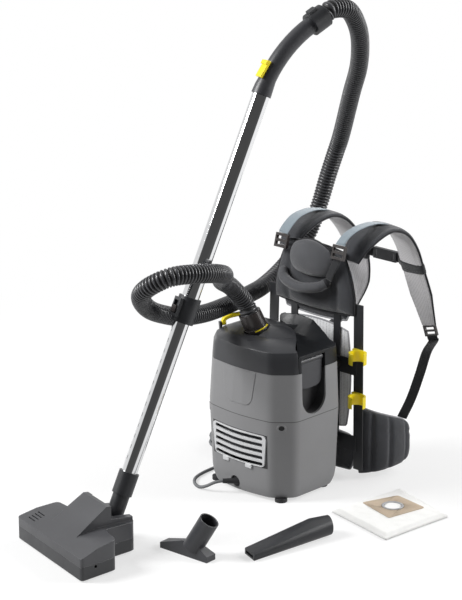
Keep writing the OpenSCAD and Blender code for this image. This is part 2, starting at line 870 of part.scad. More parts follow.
module cord_gland() {
    color("#1b1b1d") difference() {
        union() {
            translate([cord_hole.x, gland_seat.y + 3, cord_hole.z]) rotate([90, 0, 0])
                cylinder(d = cord_hole_d - 2*fit, h = 6);
            at_gland() cylinder(d1 = 13, d2 = cord_d + 3, h = gland_len);
        }
        at_gland() translate([0, 0, 2]) cylinder(d = cord_d + 2*fit, h = gland_len);
    }
}

// Coil: each layer spirals in or out, then climbs in the half turn where the spiral reverses
function coil_point(t) =
    let (
        per = coil_turns/coil_layers,
        layer = min(coil_layers - 1, floor(t/per)),
        part = t - layer*per,
        reach = coil_pitch*(per - 0.5),
        last = layer == coil_layers - 1,
        run = min(part, last ? per : per - 0.5)*coil_pitch,
        r = coil_mean_d/2 + (layer % 2 == 0 ? reach/2 - run : run - reach/2),
        climb = last ? 0 : max(0, part - (per - 0.5))/0.5
    )
    [coil_centre.x + r*cos(360*t), coil_centre.y + r*sin(360*t), cord_d/2 + coil_rise*(layer + climb)];

coil_loops = [for (i = [0:coil_turns*coil_rings]) coil_point(i/coil_rings)];
coil_path = concat([coil_loops[0] - [0, cord_d, 0]], coil_loops, smooth(coil_tail, 2));

// Least clear distance between two stretches of one tube, at least skip points apart
function least_gap(p, skip, d) = min([
    for (i = [0:len(p) - 1 - skip]) for (j = [i + skip:len(p) - 1]) norm(p[i] - p[j]) - d
]);

cord_path = smooth(concat([gland_point(10), gland_point(gland_len)], cord_mid, [coil_path[0] - [0, fit, 0]]), 5);

module mains_cord() {
    color("#8d8f92")
        loft(round_rings(cord_path, [for (p = cord_path) cord_d/2], 8, [1, 0, 0]));
}

module mains_coil() {
    color("#8d8f92")
        loft(round_rings(coil_path, [for (p = coil_path) cord_d/2], coil_sides, [0, 0, 1]));
}

module mains_plug() {
    color("#1b1b1d") translate(coil_tail[len(coil_tail) - 1] + [0, fit, 0]) rotate([-90, 0, 0]) {
        cylinder(d1 = cord_d + 4, d2 = cord_d + 7, h = 16);
        translate([0, 0, 16]) cylinder(d = 26, h = 22);
        for (x = [-9.5, 9.5]) translate([x, 0, 38]) cylinder(d = 4.8, h = 19);
    }
}

// ---------------------------------------------------------------- hose

function even(n, from, to) = [for (i = [0:n - 1]) from + (to - from)*i/(n - 1)];

hose_ends = [cuff_at + cuff_len - 11.7, stub_len + 4];
hose_route = concat(
    [for (d = [0, hose_od/2, hose_od]) inlet_point(hose_ends[0] + d)],
    hose_mid,
    [for (d = [hose_od, hose_od/2, 0]) handle_point(hose_ends[1] + d)]
);
hose_curve = smooth(hose_route, 8);
hose_length = run_lengths(hose_curve)[len(hose_curve) - 1];

echo(least_gap_of_coil = least_gap(coil_path, coil_rings/2, cord_d));
echo(least_gap_of_hose = least_gap(hose_curve, 24, hose_od));
echo(hose_length = hose_length);

module hose() {
    rib_at = even(2*hose_ribs, 0, hose_length);
    outer = along(hose_curve, rib_at);
    root_r = hose_od/2 - 2.6;
    radii = [for (i = [0:len(rib_at) - 1]) i % 2 == 0 ? root_r : hose_od/2];
    bore_rings = 72;
    inner = along(hose_curve, even(bore_rings, 0, hose_length));
    color("#26272a") difference() {
        loft(round_rings(outer, radii, 8, [1, 0, 0]));
        loft(round_rings(
            concat([2*inner[0] - inner[1]], inner, [2*inner[bore_rings - 1] - inner[bore_rings - 2]]),
            [for (i = [0:bore_rings + 1]) hose_bore/2 - 2], 8, [1, 0, 0]
        ));
    }
}

// ---------------------------------------------------------------- wand

module handle_cuff() {
    color("#2d2e31") at_handle_end() difference() {
        union() {
            translate([0, 0, 1]) cylinder(d = hose_od + 9, h = handle_cuff_len);
            translate([-hose_od/2 - 8, -7, 6]) cube([10, 14, 18]);
        }
        translate([0, 0, -1]) cylinder(d = handle_d + 2*run_fit, h = stub_len + 1 + fit);
        cylinder(d = hose_bore, h = 60);
        translate([0, 0, hose_ends[1] - fit]) cylinder(d = hose_od + 2*fit, h = 40);
    }
}

// The handle's middle line in the wand's frame: up the tube, round the bend, into the cuff
function bend_point(a) = [handle_bend_r*(1 - cos(a)), 0, tube_top + handle_bend_r*sin(a)];

bend_steps = 10;
handle_line = concat(
    [[0, 0, handle_foot], [0, 0, tube_top + 0.2], [0, 0, tube_top + 0.4]],
    [for (i = [1:bend_steps]) bend_point(handle_bend_a*i/bend_steps)],
    [bend_point(handle_bend_a) + stub_len*[sin(handle_bend_a), 0, cos(handle_bend_a)]]
);
handle_r = concat(
    [tube_d/2 - tube_wall - 0.3, tube_d/2 - tube_wall - 0.3, tube_d/2 + 2.5, tube_d/2 + 1.5],
    [for (i = [2:bend_steps + 1]) handle_d/2]
);

module handle() {
    bore = 26;
    line = concat([[0, 0, handle_foot - 1]], handle_line,
        [bend_point(handle_bend_a) + (stub_len + 1)*[sin(handle_bend_a), 0, cos(handle_bend_a)]]);
    color("#4b4c50") at_wand() difference() {
        loft(round_rings(handle_line, handle_r, 24, [0, 1, 0]));
        loft(round_rings(line, [for (p = line) bore/2], 16, [0, 1, 0]));
        at_air_slot() translate([-9, -6, -20]) cube([20, 12, 30]);
    }
}

// Frame on the handle's outer side, z along it, x inwards
module at_air_slot() {
    a = 12;
    translate([handle_bend_r*(1 - cos(a)) - handle_d/2*cos(a), 0, tube_top + handle_bend_r*sin(a) + handle_d/2*sin(a)])
        rotate([0, a, 0]) children();
}

module air_slider() {
    color("#f5e01a") at_wand() at_air_slot() {
        translate([-5, -9, -26]) cube([5 - fit, 18, 36]);
        translate([-9, -9, 0]) cube([5, 18, 8]);
        translate([-1, -5.5, -19]) cube([7, 11, 18]);
    }
}

module upper_tube() {
    color("#c8c9cb") at_wand() translate([0, 0, collar_at + 14])
        ring(tube_d, tube_d - 2*tube_wall, tube_top - collar_at - 14);
}

module tube_collar() {
    color("#242527") at_wand() translate([0, 0, collar_at]) difference() {
        union() {
            cylinder(d = tube_d + 10, h = collar_len);
            translate([-tube_d/2 - 10, -11, 8]) cube([14, 22, collar_len - 14]);
        }
        translate([0, 0, -1]) cylinder(d = lower_d + 2*tube_play, h = 16);
        translate([0, 0, 14]) cylinder(d = tube_d + 2*run_fit, h = collar_len);
        translate([-tube_d/2 - 11, -7.5, 14]) cube([7, 15, 26]);
    }
}

module lock_slider() {
    color("#5b4a3c") at_wand() translate([-tube_d/2 - 13, -7.2, collar_at + slider_at - 6])
        cube([8.7, 14.4, 14]);
}

module lower_tube() {
    color("#bdbec0") at_wand() difference() {
        translate([0, 0, lower_foot]) ring(lower_d, lower_d - 2*tube_wall, lower_top - lower_foot);
        for (i = [0:12]) translate([-lower_d/2 - 1, -2, lower_foot + 40 + 22*i]) cube([1.6, 4, 8]);
    }
}

module neck() {
    color("#2a2b2e") at_wand() difference() {
        union() {
            rotate([90, 0, 0]) cylinder(d = knuckle_d, h = knuckle_w, center = true);
            cylinder(d = 34, h = neck_top);
            translate([0, 0, 66]) cylinder(d = lower_d + 9, h = neck_top - 66);
        }
        translate([0, 0, 10]) cylinder(d = 24, h = neck_top);
        translate([0, 0, lower_foot - fit]) cylinder(d = lower_d + 2*run_fit, h = neck_top);
        rotate([90, 0, 0]) cylinder(d = 10 + 2*run_fit, h = 3*knuckle_w, center = true);
    }
}

// ---------------------------------------------------------------- floor nozzle

front_y = -nozzle_reach;
bar_back_y = -54;
box_back_y = 26;
bar_top = 48;
hump_top = 104;
hump_back_y = -24;

// Plan of the nozzle: a wide bar with a narrower box behind it
module nozzle_plan(inset) {
    h = nozzle_w/2 - inset;
    polygon(rounded(
        [
            [-h, front_y + inset], [h, front_y + inset], [h - 14, bar_back_y - inset],
            [62 - inset, bar_back_y + 6 - inset], [52 - inset, box_back_y - inset],
            [-52 + inset, box_back_y - inset], [-62 + inset, bar_back_y + 6 - inset],
            [-h + 14, bar_back_y - inset]
        ],
        [8, 8, 10, 8, 14, 14, 8, 10], 4
    ));
}

// Side view of the bar's top, extruded across the whole width
module bar_profile(inset) {
    rotate([90, 0, 90]) translate([0, 0, -nozzle_w]) linear_extrude(height = 2*nozzle_w)
        polygon([
            [front_y + inset, 0], [front_y + inset, bar_top - inset], [-98, 60 - inset],
            [bar_back_y, 66 - inset], [60, 62 - inset], [60, 0]
        ]);
}

// The hump over the neck, higher and narrower towards the back
module hump(inset) {
    intersection() {
        rotate([90, 0, 90]) translate([0, 0, -60]) linear_extrude(height = 120)
            polygon([[-112, 40], [-106, 57 - inset], [-66, 84 - inset], [-34, hump_top - inset],
                [hump_back_y - inset, hump_top - 1 - inset], [hump_back_y - inset, 76 - inset],
                [box_back_y - inset, 70 - inset], [box_back_y - inset, 40]]);
        linear_extrude(height = 120) polygon([
            [-50 + inset, -112], [50 - inset, -112], [42 - inset, box_back_y], [-42 + inset, box_back_y]
        ]);
    }
}

module nozzle_solid(inset) {
    intersection() {
        linear_extrude(height = 120) nozzle_plan(inset);
        union() {
            bar_profile(inset);
            hump(inset);
        }
    }
}

module nozzle_cover() {
    color("#46474a") at_nozzle() difference() {
        nozzle_solid(0);
        translate([0, 0, -1]) nozzle_solid(wall);
        translate([-200, -200, -1]) cube([400, 400, nozzle_seam + 1 + fit]);
        translate([-neck_slot/2, -26, 0]) cube([neck_slot, 90, 200]);
        for (i = [0:3]) translate([-104, -126 + 7*i, 40]) cube([26, 3, 40]);
    }
}

module nozzle_base() {
    mouth_w = nozzle_w - 44;
    color("#38393b") at_nozzle() difference() {
        union() {
            difference() {
                translate([0, 0, 4]) linear_extrude(height = nozzle_seam - 4) nozzle_plan(0);
                translate([0, 0, 7]) linear_extrude(height = nozzle_seam) nozzle_plan(wall);
            }
            for (x = [-1, 1]) translate([x*(knuckle_w/2 + 5) - 4, -18, 4]) cube([8, 36, neck_pivot.z + 2]);
            for (x = [-1, 1]) translate([x*(mouth_w/2 + 5) - 3, brush_y - 15, 5])
                cube([6, 30, 26]);
            translate([0, 0, neck_pivot.z]) rotate([0, 90, 0])
                cylinder(d = 10, h = knuckle_w + 18, center = true);
        }
        translate([-mouth_w/2, brush_y - 20, 0]) cube([mouth_w, 40, 12]);
        translate([-mouth_w, brush_y, brush_z]) rotate([0, 90, 0]) cylinder(d = 6 + 2*run_fit, h = 2*mouth_w);
        for (x = [-84, 84]) translate([x - 7.3, -76, 0]) cube([14.6, 20, 14]);
    }
}

module brush_roller() {
    mouth_w = nozzle_w - 44;
    color("#1f2022") at_nozzle() translate([0, brush_y, brush_z]) rotate([0, 90, 0]) {
        cylinder(d = 6, h = mouth_w + 14, center = true);
        cylinder(d = 20, h = mouth_w - 6, center = true);
        for (a = [0, 180]) rotate([0, 0, a])
            translate([8, -2, -mouth_w/2 + 8]) cube([brush_d/2 - 8, 4, mouth_w - 16]);
    }
}

module nozzle_wheels() {
    color("#141415") at_nozzle() for (x = [-84, 84])
        translate([x, -66, 6]) rotate([0, 90, 0]) cylinder(d = 12, h = 14, center = true);
}

// ---------------------------------------------------------------- harness

strut_lean = atan((strut_foot_y - strut_top_y)/(strut_top - strut_foot_z));

function strut_y(z) = strut_foot_y + (strut_top_y - strut_foot_y)*(z - strut_foot_z)/(strut_top - strut_foot_z);

module harness_frame() {
    color("#1d1d1f") {
        for (s = [-1, 1]) {
            loft(flat_rings(
                [for (z = [strut_foot_z, 110, 200, 290, strut_top]) [s*(strut_gap/2 + (strut_top - z)*0.018), strut_y(z), z]],
                rounded([[-strut_w/2, -strut_t/2], [strut_w/2, -strut_t/2], [strut_w/2, strut_t/2], [-strut_w/2, strut_t/2]], [1, 1, 1, 1], 1)
            ));
            loft(flat_rings(
                [for (z = [strut_foot_z + 10, 200, strut_top]) [s*inner_bar_x, strut_y(z), z]],
                [for (c = [[-1, -1], [1, -1], [1, 1], [-1, 1]]) [c.x*inner_bar_w/2, c.y*strut_t/2]]
            ));
        }
        for (z = rail_z) difference() {
            union() {
                translate([-strut_gap/2, strut_y(z) - strut_t, z - rail_h/2]) cube([strut_gap, strut_t, rail_h]);
                for (s = [-1, 1]) translate([s*rail_boss_x, strut_y(z), z]) rotate([90, 0, 0])
                    cylinder(d = rail_boss_d, h = strut_y(z) - back_y(z) - fit);
            }
            for (s = [-1, 1]) translate([s*rail_boss_x, strut_y(z) + 10, z]) rotate([90, 0, 0])
                cylinder(d = rail_bore_d, h = 80);
        }
    }
}

// Crowned pad between x0..x1 and z0..z1: depth runs from y0 outwards by t
module crowned(x0, x1, z0, z1, y, t, taper = 0, lean = 0, n = 6) {
    cols = n + 2;
    rows = n;
    grid = [
        for (j = [0:rows]) [
            for (i = [0:cols])
                let (u = 2*i/cols - 1, v = 2*j/rows - 1)
                [
                    (x0 + x1)/2 + u*(1 - 0.10*v*v)*(x1 - x0)/2*(1 + taper*v),
                    v*(1 - 0.10*u*u)*lean,
                    (z0 + z1)/2 + v*(1 - 0.10*u*u)*(z1 - z0)/2,
                    sqrt(sqrt(max(0, (1 - pow(u, 4))*(1 - pow(v, 4)))))
                ]
        ]
    ];
    slab(
        [for (r = grid) [for (g = r) [g[0], y + g[1], g[2]]]],
        [for (r = grid) [for (g = r) [g[0], y + g[1] - 1.5 - (t - 1.5)*g[3], g[2]]]]
    );
}

module yoke_cover() {
    color("#3c3d40") crowned(-104, 104, 352, 496, strut_top_y - strut_t/2 - fit, 15, -0.18, 0, 8);
}

module head_pad() {
    color("#45464a") crowned(-54, 62, 429, 504, strut_top_y - 17.2, 22, 0.02, 0, 8);
}

module grab_handle() {
    path = smooth([[-74, 120, 430], [-60, 107, 416], [-34, 99, 409], [-8, 97, 406], [18, 99, 409], [44, 107, 416], [56, 120, 428]], 3);
    color("#3f4043") loft(round_rings(
        path, [for (i = [0:len(path) - 1]) i < 1 || i > len(path) - 2 ? 6 : 10], 10, [0, 0, 1]
    ));
}

module back_pad() {
    color("#2b2c2e") mirror([0, 1, 0])
        crowned(-98, 98, 336, 456, -(strut_y(336) + strut_t/2 + fit), 22, 0.05, 0, 6);
}

module spine_pad() {
    color("#c9cbce") mirror([0, 1, 0])
        crowned(-97, 97, 100, 330, -(strut_y(215) + strut_t/2 + 2*fit), 16, 0, (strut_y(100) - strut_y(330))/2, 5);
}

module lumbar_pad() {
    color("#2f3033") mirror([0, 1, 0])
        crowned(-112, 112, 12, 96, -(strut_y(54) + strut_t/2 + fit), 26, 0, (strut_y(12) - strut_y(96))/2, 5);
}

// One wing of the belt, from the lumbar pad round the side of the hip
module belt_wing(s) {
    path = smooth([[114, 158, 82], [130, 162, 82], [147, 178, 80], [157, 206, 76], [157, 240, 70], [146, 268, 62]], 4);
    n = len(path);
    tall = [for (i = [0:n - 1]) 148 - 70*pow(i/(n - 1), 1.4)];
    rings = [
        for (i = [0:n - 1])
            let (
                t = heading(path, i),
                out = unit([t.y, -t.x, 0]),
                h = tall[i]/2,
                c = path[i]
            )
            [
                for (q = [[-h, 4], [-h*0.6, 12], [0, 14], [h*0.6, 12], [h, 4], [h, -4], [h*0.6, -9], [0, -10], [-h*0.6, -9], [-h, -4]])
                    [s*(c.x + out.x*q[1]), c.y + out.y*q[1], max(2, c.z + q[0])]
            ]
    ];
    loft(s < 0 ? rings : [for (r = rings) [for (k = [len(r) - 1:-1:0]) r[k]]]);
}

module hip_belt_right() {
    color("#33343a") belt_wing(1);
}

module hip_belt_left() {
    color("#33343a") belt_wing(-1);
}

strap_shape = [for (a = [0:30:330]) [strap_w/2*sign(cos(a))*pow(abs(cos(a)), 0.6), strap_t/2*sign(sin(a))*pow(abs(sin(a)), 0.8)]];

module shoulder(points) {
    path = smooth(points, 2);
    n = len(path) - 1;
    size = [for (i = [0:n]) i < 2 ? 0.72 + 0.14*i : i > n - 2 ? 0.62 + 0.14*(n - i) : 1];
    loft(flat_rings(path, strap_shape, [1, 0, 0], size));
}

module shoulder_strap_right() {
    color("#3a3b3f") shoulder(strap_right);
}

module shoulder_strap_left() {
    color("#3a3b3f") shoulder(strap_left);
}

module webbing(points, w = webbing_w, t = 1.8, across = [1, 0, 0]) {
    path = smooth(points, 3);
    loft(flat_rings(path, [[-w/2, -t/2], [w/2, -t/2], [w/2, t/2], [-w/2, t/2]], across));
}

module lifter_straps() {
    color("#7d8a96") {
        webbing(lifter_right);
        webbing(lifter_left);
    }
}

module lifter_buckles() {
    color("#2f2b29") for (p = [buckle_right, buckle_left])
        translate(p) rotate([buckle_lean, 0, 0]) difference() {
            translate([-17, -3.5, -15]) cube([34, 7, 30]);
            for (z = [-9, 3]) translate([-13, -10, z]) cube([26, 20, 6]);
        }
}

module sternum_strap() {
    color("#26272a") {
        webbing(sternum_left, webbing_w - 5, 1.8, [0, 0, 1]);
        webbing(sternum_right, webbing_w - 5, 1.8, [0, 0, 1]);
    }
}

module sternum_buckle() {
    color("#1a1a1c") translate(buckle_at) difference() {
        cube(buckle_size);
        for (x = [5, buckle_size.x - 11]) translate([x, -5, 4]) cube([6, 20, buckle_size.z - 8]);
    }
}

// The way out of a strap's lower end, and points on it
function strap_exit(points, d) =
    let (path = smooth(points, 2), n = len(path) - 1)
    path[n] + (d + fit)*unit(path[n] - path[n - 1]);

module lower_straps() {
    color("#222326") {
        webbing(concat(lower_right, [for (d = [12, 6, fit]) strap_exit(strap_right, lock_len + d)]));
        webbing(concat(lower_left, [for (d = [12, 6, fit]) strap_exit(strap_left, lock_len + d)]));
    }
}

module flat_bar(from, to, w, t) {
    loft(flat_rings([from, to], [[-w/2, -t/2], [w/2, -t/2], [w/2, t/2], [-w/2, t/2]]));
}

module ladder_locks() {
    color("#1c1c1e") for (strap = [strap_right, strap_left]) difference() {
        flat_bar(strap_exit(strap, 0), strap_exit(strap, lock_len), webbing_w + 9, 6);
        for (d = [4, lock_len/2 + 2])
            flat_bar(strap_exit(strap, d), strap_exit(strap, d + lock_len/2 - 6), webbing_w + 1, 20);
    }
}

module tool_clips() {
    color("#f2dc14") for (z = clip_z)
        translate([strut_gap/2 + 2, strut_y(z), z]) rotate([strut_lean, 0, 0]) translate([0, -strut_t/2 - fit, -12]) difference() {
            union() {
                translate([-10, -7, 0]) cube([22, 7, 24]);
                translate([clip_out, -clip_bore/2 - 4.6, 0]) cylinder(d = clip_bore + 8, h = 24);
            }
            translate([clip_out, -clip_bore/2 - 4.6, -1]) {
                cylinder(d = clip_bore, h = 26);
                rotate([0, 0, 45]) translate([-11, -40, 0]) cube([22, 40, 26]);
            }
        }
}

// ---------------------------------------------------------------- loose tools

module upholstery_nozzle() {
    color("#3b3c3f") difference() {
        union() {
            hull() {
                translate([83, -401, 0]) rotate([0, 0, 4]) cube([120, 26, 12]);
                translate([140, -395, 26]) rotate([0, 0, 4]) cube([34, 14, 4]);
            }
            translate([158, -386, 18]) rotate([0, 30, 20]) cylinder(d = tool_bore + 5, h = 72);
        }
        translate([158, -386, 18]) rotate([0, 30, 20]) {
            translate([0, 0, 20]) cylinder(d = tool_bore, h = 80);
            translate([0, 0, -12]) cylinder(d = 16, h = 40);
        }
        translate([92, -394, -1]) rotate([0, 0, 4]) cube([102, 12, 8]);
    }
}

module crevice_nozzle() {
    r = tool_bore/2 + 2.5;
    color("#2b2c2f") difference() {
        hull() {
            translate([276, -122, r]) rotate([0, 90, -110]) cylinder(r = r, h = 40, $fn = 32);
            translate([243, -314, 7]) rotate([0, 90, -110]) translate([-6, -20, 0]) cube([12, 40, 1]);
        }
        translate([279, -114, r]) rotate([0, 90, -110]) cylinder(d = tool_bore, h = 50);
        hull() {
            translate([264, -153, r]) rotate([0, 90, -110]) cylinder(d = 24, h = 2, $fn = 24);
            translate([243, -314, 7]) rotate([0, 90, -110]) translate([-2.5, -15, -1]) cube([5, 30, 4]);
        }
    }
}

module spare_bag() {
    color("#f0eee8") difference() {
        linear_extrude(height = 12) polygon(rounded(
            [[207, -34], [379, -68], [393, 108], [230, 153]], [10, 10, 10, 10], 4
        ));
        translate([291, 57, 2]) cylinder(d = 44, h = 20);
    }
}

// ---------------------------------------------------------------- nodes

base_plate();
feet();
lower_housing();
upper_housing();
housing_screws();
exhaust_grille();
exhaust_filter();
motor();
motor_shaft();
impeller();
filter_basket();
dust_bag();
lid();
lid_seal();
inlet_port();
inlet_cuff();
rear_tray();
side_latch();
latch_pin();
lid_lever();
switch_bezel();
power_switch();
cord_gland();
mains_cord();
mains_coil();
mains_plug();
harness_frame();
yoke_cover();
head_pad();
grab_handle();
back_pad();
spine_pad();
lumbar_pad();
hip_belt_right();
hip_belt_left();
shoulder_strap_right();
shoulder_strap_left();
lifter_straps();
lifter_buckles();
sternum_strap();
sternum_buckle();
lower_straps();
ladder_locks();
tool_clips();
hose();
handle_cuff();
handle();
air_slider();
upper_tube();
tube_collar();
lock_slider();
lower_tube();
neck();
nozzle_cover();
nozzle_base();
brush_roller();
nozzle_wheels();
upholstery_nozzle();
crevice_nozzle();
spare_bag();
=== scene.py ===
import json
import math

import bmesh
import bpy
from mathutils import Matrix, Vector, noise
from mathutils.bvhtree import BVHTree


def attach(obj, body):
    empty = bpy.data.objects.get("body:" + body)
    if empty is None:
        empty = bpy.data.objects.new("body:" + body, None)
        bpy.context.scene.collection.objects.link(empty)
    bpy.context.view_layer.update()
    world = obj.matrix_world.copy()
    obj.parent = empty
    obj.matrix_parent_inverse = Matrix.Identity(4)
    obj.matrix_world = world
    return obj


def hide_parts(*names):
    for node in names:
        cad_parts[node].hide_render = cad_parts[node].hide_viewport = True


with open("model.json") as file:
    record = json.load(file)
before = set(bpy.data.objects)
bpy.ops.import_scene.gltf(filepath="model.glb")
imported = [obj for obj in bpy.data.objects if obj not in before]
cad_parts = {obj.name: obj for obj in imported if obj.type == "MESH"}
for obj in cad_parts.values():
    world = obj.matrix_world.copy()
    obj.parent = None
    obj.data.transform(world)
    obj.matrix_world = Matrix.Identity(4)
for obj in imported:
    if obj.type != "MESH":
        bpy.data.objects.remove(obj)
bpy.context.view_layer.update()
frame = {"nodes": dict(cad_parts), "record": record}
NODE = frame["nodes"]
SCENE = bpy.context.scene
SCENE.view_settings.view_transform = "Standard"
MM = 0.001
EDGE_ANGLE = math.radians(28)  # sharper edges than this stay crisp


# ---------------------------------------------------------------- small helpers

def mm(p):
    return Vector(p) * MM


def turned(p, lean, turn):
    """A point leant from +Z towards +X and then turned about +Z, in degrees."""
    a, b = math.radians(lean), math.radians(turn)
    x = p[0] * math.cos(a) + p[2] * math.sin(a)
    z = p[2] * math.cos(a) - p[0] * math.sin(a)
    return Vector((x * math.cos(b) - p[1] * math.sin(b), x * math.sin(b) + p[1] * math.cos(b), z))


def smooth(points, n):
    """A smooth curve through points, with n steps between two of them."""
    p = [Vector(q) for q in points]
    out = []
    for i in range(len(p) - 1):
        a = p[i - 1] if i > 0 else 2 * p[0] - p[1]
        b, c = p[i], p[i + 1]
        d = p[i + 2] if i + 2 < len(p) else 2 * p[i + 1] - p[i]
        steps = n if i < len(p) - 2 else n + 1
        for k in range(steps):
            t = k / n
            out.append(0.5 * (2 * b + (c - a) * t + (2 * a - 5 * b + 4 * c - d) * t * t
                              + (3 * b - a - 3 * c + d) * t ** 3))
    return out


def path_length(p):
    return sum((p[i + 1] - p[i]).length for i in range(len(p) - 1))


def resample(p, n):
    """n + 1 points at even distances along a polyline."""
    total = path_length(p)
    out, i, run = [p[0].copy()], 0, 0.0
    for k in range(1, n):
        want = total * k / n
        while i < len(p) - 2 and run + (p[i + 1] - p[i]).length < want:
            run += (p[i + 1] - p[i]).length
            i += 1
        step = (p[i + 1] - p[i]).length
        out.append(p[i].lerp(p[i + 1], min(1.0, (want - run) / max(step, 1e-9))))
    out.append(p[-1].copy())
    return out


def frames(p, first):
    """Tangent, side and up at each point, carried along without twist."""
    rows = []
    side = Vector(first)
    for i in range(len(p)):
        t = (p[min(i + 1, len(p) - 1)] - p[max(i - 1, 0)]).normalized()
        side = (side - side.dot(t) * t).normalized()
        rows.append((t, side.copy(), t.cross(side)))
    return rows


def obj_from(name, verts, faces, mats, face_mat=None, smooth_faces=True):
    mesh = bpy.data.meshes.new(name)
    mesh.from_pydata([tuple(v) for v in verts], [], faces)
    for m in mats:
        mesh.materials.append(m)
    if face_mat:
        mesh.polygons.foreach_set("material_index", face_mat)
    mesh.polygons.foreach_set("use_smooth", [smooth_faces] * len(mesh.polygons))
    mesh.update()
    o = bpy.data.objects.new(name, mesh)
    SCENE.collection.objects.link(o)
    return o


def circle(n, start=0.0):
    """n angles round a circle."""
    return [start + 2 * math.pi * k / n for k in range(n)]


def rounded(value, power):
    """A sine or cosine bent towards a square's side."""
    return math.copysign(abs(value) ** power, value)


def recalc(o):
    """Face normals of a closed mesh all turned outwards."""
    bm = bmesh.new()
    bm.from_mesh(o.data)
    bmesh.ops.recalc_face_normals(bm, faces=bm.faces)
    bm.to_mesh(o.data)
    bm.free()
    o.data.update()
    return o


def lofted(name, rings, mats, face_mat=None, caps=True):
    """A skin over rings of equal count, closed round each ring."""
    n, m = len(rings[0]), len(rings)
    verts = [v for r in rings for v in r]
    faces, index = [], []
    for j in range(m - 1):
        for i in range(n):
            faces.append((j * n + i, j * n + (i + 1) % n, (j + 1) * n + (i + 1) % n, (j + 1) * n + i))
            index.append(face_mat(j, i) if face_mat else 0)
    if caps:
        for base, ring in ((0, rings[0]), ((m - 1) * n, rings[-1])):
            c = sum((Vector(v) for v in ring), Vector()) / n
            verts.append(c)
            k = len(verts) - 1
            for i in range(n):
                faces.append((base + i, base + (i + 1) % n, k))
                index.append(face_mat(0 if base == 0 else m - 2, i) if face_mat else 0)
    return recalc(obj_from(name, verts, faces, mats, index))


def tube(name, p, radii, sides, mat, first=(0, 0, 1), other=None, pick=None):
    """A round tube with a radius at each point; pick chooses the faces of the other material."""
    rings = []
    for q, (t, s, u), r in zip(p, frames(p, first), radii):
        rings.append([q + r * (math.cos(a) * s + math.sin(a) * u) for a in circle(sides)])
    return lofted(name, rings, [mat, other] if other else [mat], pick)


WEB_SECTION = [
    (-1, 0), (-0.97, -0.8), (-0.85, -1), (-0.4, -0.92), (0, -1), (0.4, -0.92), (0.85, -1), (0.97, -0.8),
    (1, 0), (0.97, 0.8), (0.85, 1), (0.4, 0.92), (0, 1), (-0.4, 0.92), (-0.85, 1), (-0.97, 0.8),
]


def ribbon(name, p, width, thick, mat, across=(1, 0, 0)):
    """Flat webbing with rounded edges along a path."""
    rings = []
    for q, (t, s, u) in zip(p, frames(p, across)):
        rings.append([q + s * (x * width / 2) + u * (y * thick / 2) for x, y in WEB_SECTION])
    return lofted(name, rings, [mat])


def slab_faces(cols, rows):
    """Faces of a slab between two grids of points, and the (row, column) places round its rim."""
    n = cols + 1
    off = n * (rows + 1)
    faces = []
    for j in range(rows):
        for i in range(cols):
            a, b, c, d = j * n + i, j * n + i + 1, (j + 1) * n + i + 1, (j + 1) * n + i
            faces += [(a, b, c, d), (off + d, off + c, off + b, off + a)]
    loop = ([(0, i) for i in range(cols)] + [(j, cols) for j in range(rows)]
            + [(rows, i) for i in range(cols, 0, -1)] + [(j, 0) for j in range(rows, 0, -1)])
    for k, (j0, i0) in enumerate(loop):
        j1, i1 = loop[(k + 1) % len(loop)]
        a, b = j0 * n + i0, j1 * n + i1
        faces.append((off + a, off + b, b, a))
    return faces, loop


def crease(points, at, width):
    """How deep a sewn channel is at a place, 0..1."""
    return sum(math.exp(-((at - a) / width) ** 2) for a in points)


# ---------------------------------------------------------------- materials

def link(m, a, b):
    m.node_tree.links.new(a, b)


def base_material(name, rough, metallic=0.0, **sockets):
    m = bpy.data.materials.new(name)
    m.use_nodes = True
    b = m.node_tree.nodes["Principled BSDF"]
    b.inputs["Roughness"].default_value = rough
    b.inputs["Metallic"].default_value = metallic
    for k, v in sockets.items():
        b.inputs[k.replace("_", " ")].default_value = v
    return m, b


def add(m, kind, **props):
    n = m.node_tree.nodes.new(kind)
    for k, v in props.items():
        setattr(n, k, v)
    return n


def set_inputs(n, **values):
    for k, v in values.items():
        n.inputs[k].default_value = v
    return n


def coords(m, scale=(1, 1, 1), turn=(0, 0, 0)):
    tc = add(m, "ShaderNodeTexCoord")
    mp = add(m, "ShaderNodeMapping")
    mp.inputs["Scale"].default_value = scale
    mp.inputs["Rotation"].default_value = turn
    link(m, tc.outputs["Object"], mp.inputs["Vector"])
    return mp.outputs["Vector"]


def ramp(m, fac, stops):
    r = add(m, "ShaderNodeValToRGB")
    el = r.color_ramp.elements
    el[0].position, el[0].color = stops[0][0], (*stops[0][1], 1)
    el[1].position, el[1].color = stops[-1][0], (*stops[-1][1], 1)
    for pos, col in stops[1:-1]:
        e = el.new(pos)
        e.color = (*col, 1)
    link(m, fac, r.inputs["Fac"])
    return r.outputs["Color"]


def shade(c, k):
    return tuple(min(1.0, x * k) for x in c)


def noise_tex(m, vec, scale, detail=3.0, rough=0.5, distortion=0.0):
    n = add(m, "ShaderNodeTexNoise")
    set_inputs(n, Scale=scale, Detail=detail, Roughness=rough, Distortion=distortion)
    link(m, vec, n.inputs["Vector"])
    return n.outputs["Fac"]


def map_range(m, fac, lo, hi, f0=0.0, f1=1.0, **props):
    """Takes the range f0 to f1 to the range lo to hi."""
    r = add(m, "ShaderNodeMapRange", **props)
    set_inputs(r, **{"From Min": f0, "From Max": f1, "To Min": lo, "To Max": hi})
    link(m, fac, r.inputs["Value"])
    return r.outputs["Result"]


def combine(m, operation, a, b):
    """A Math node on two sockets or numbers."""
    n = add(m, "ShaderNodeMath", operation=operation)
    for socket, value in zip(n.inputs, (a, b)):
        if isinstance(value, float):
            socket.default_value = value
        else:
            link(m, value, socket)
    return n.outputs["Value"]


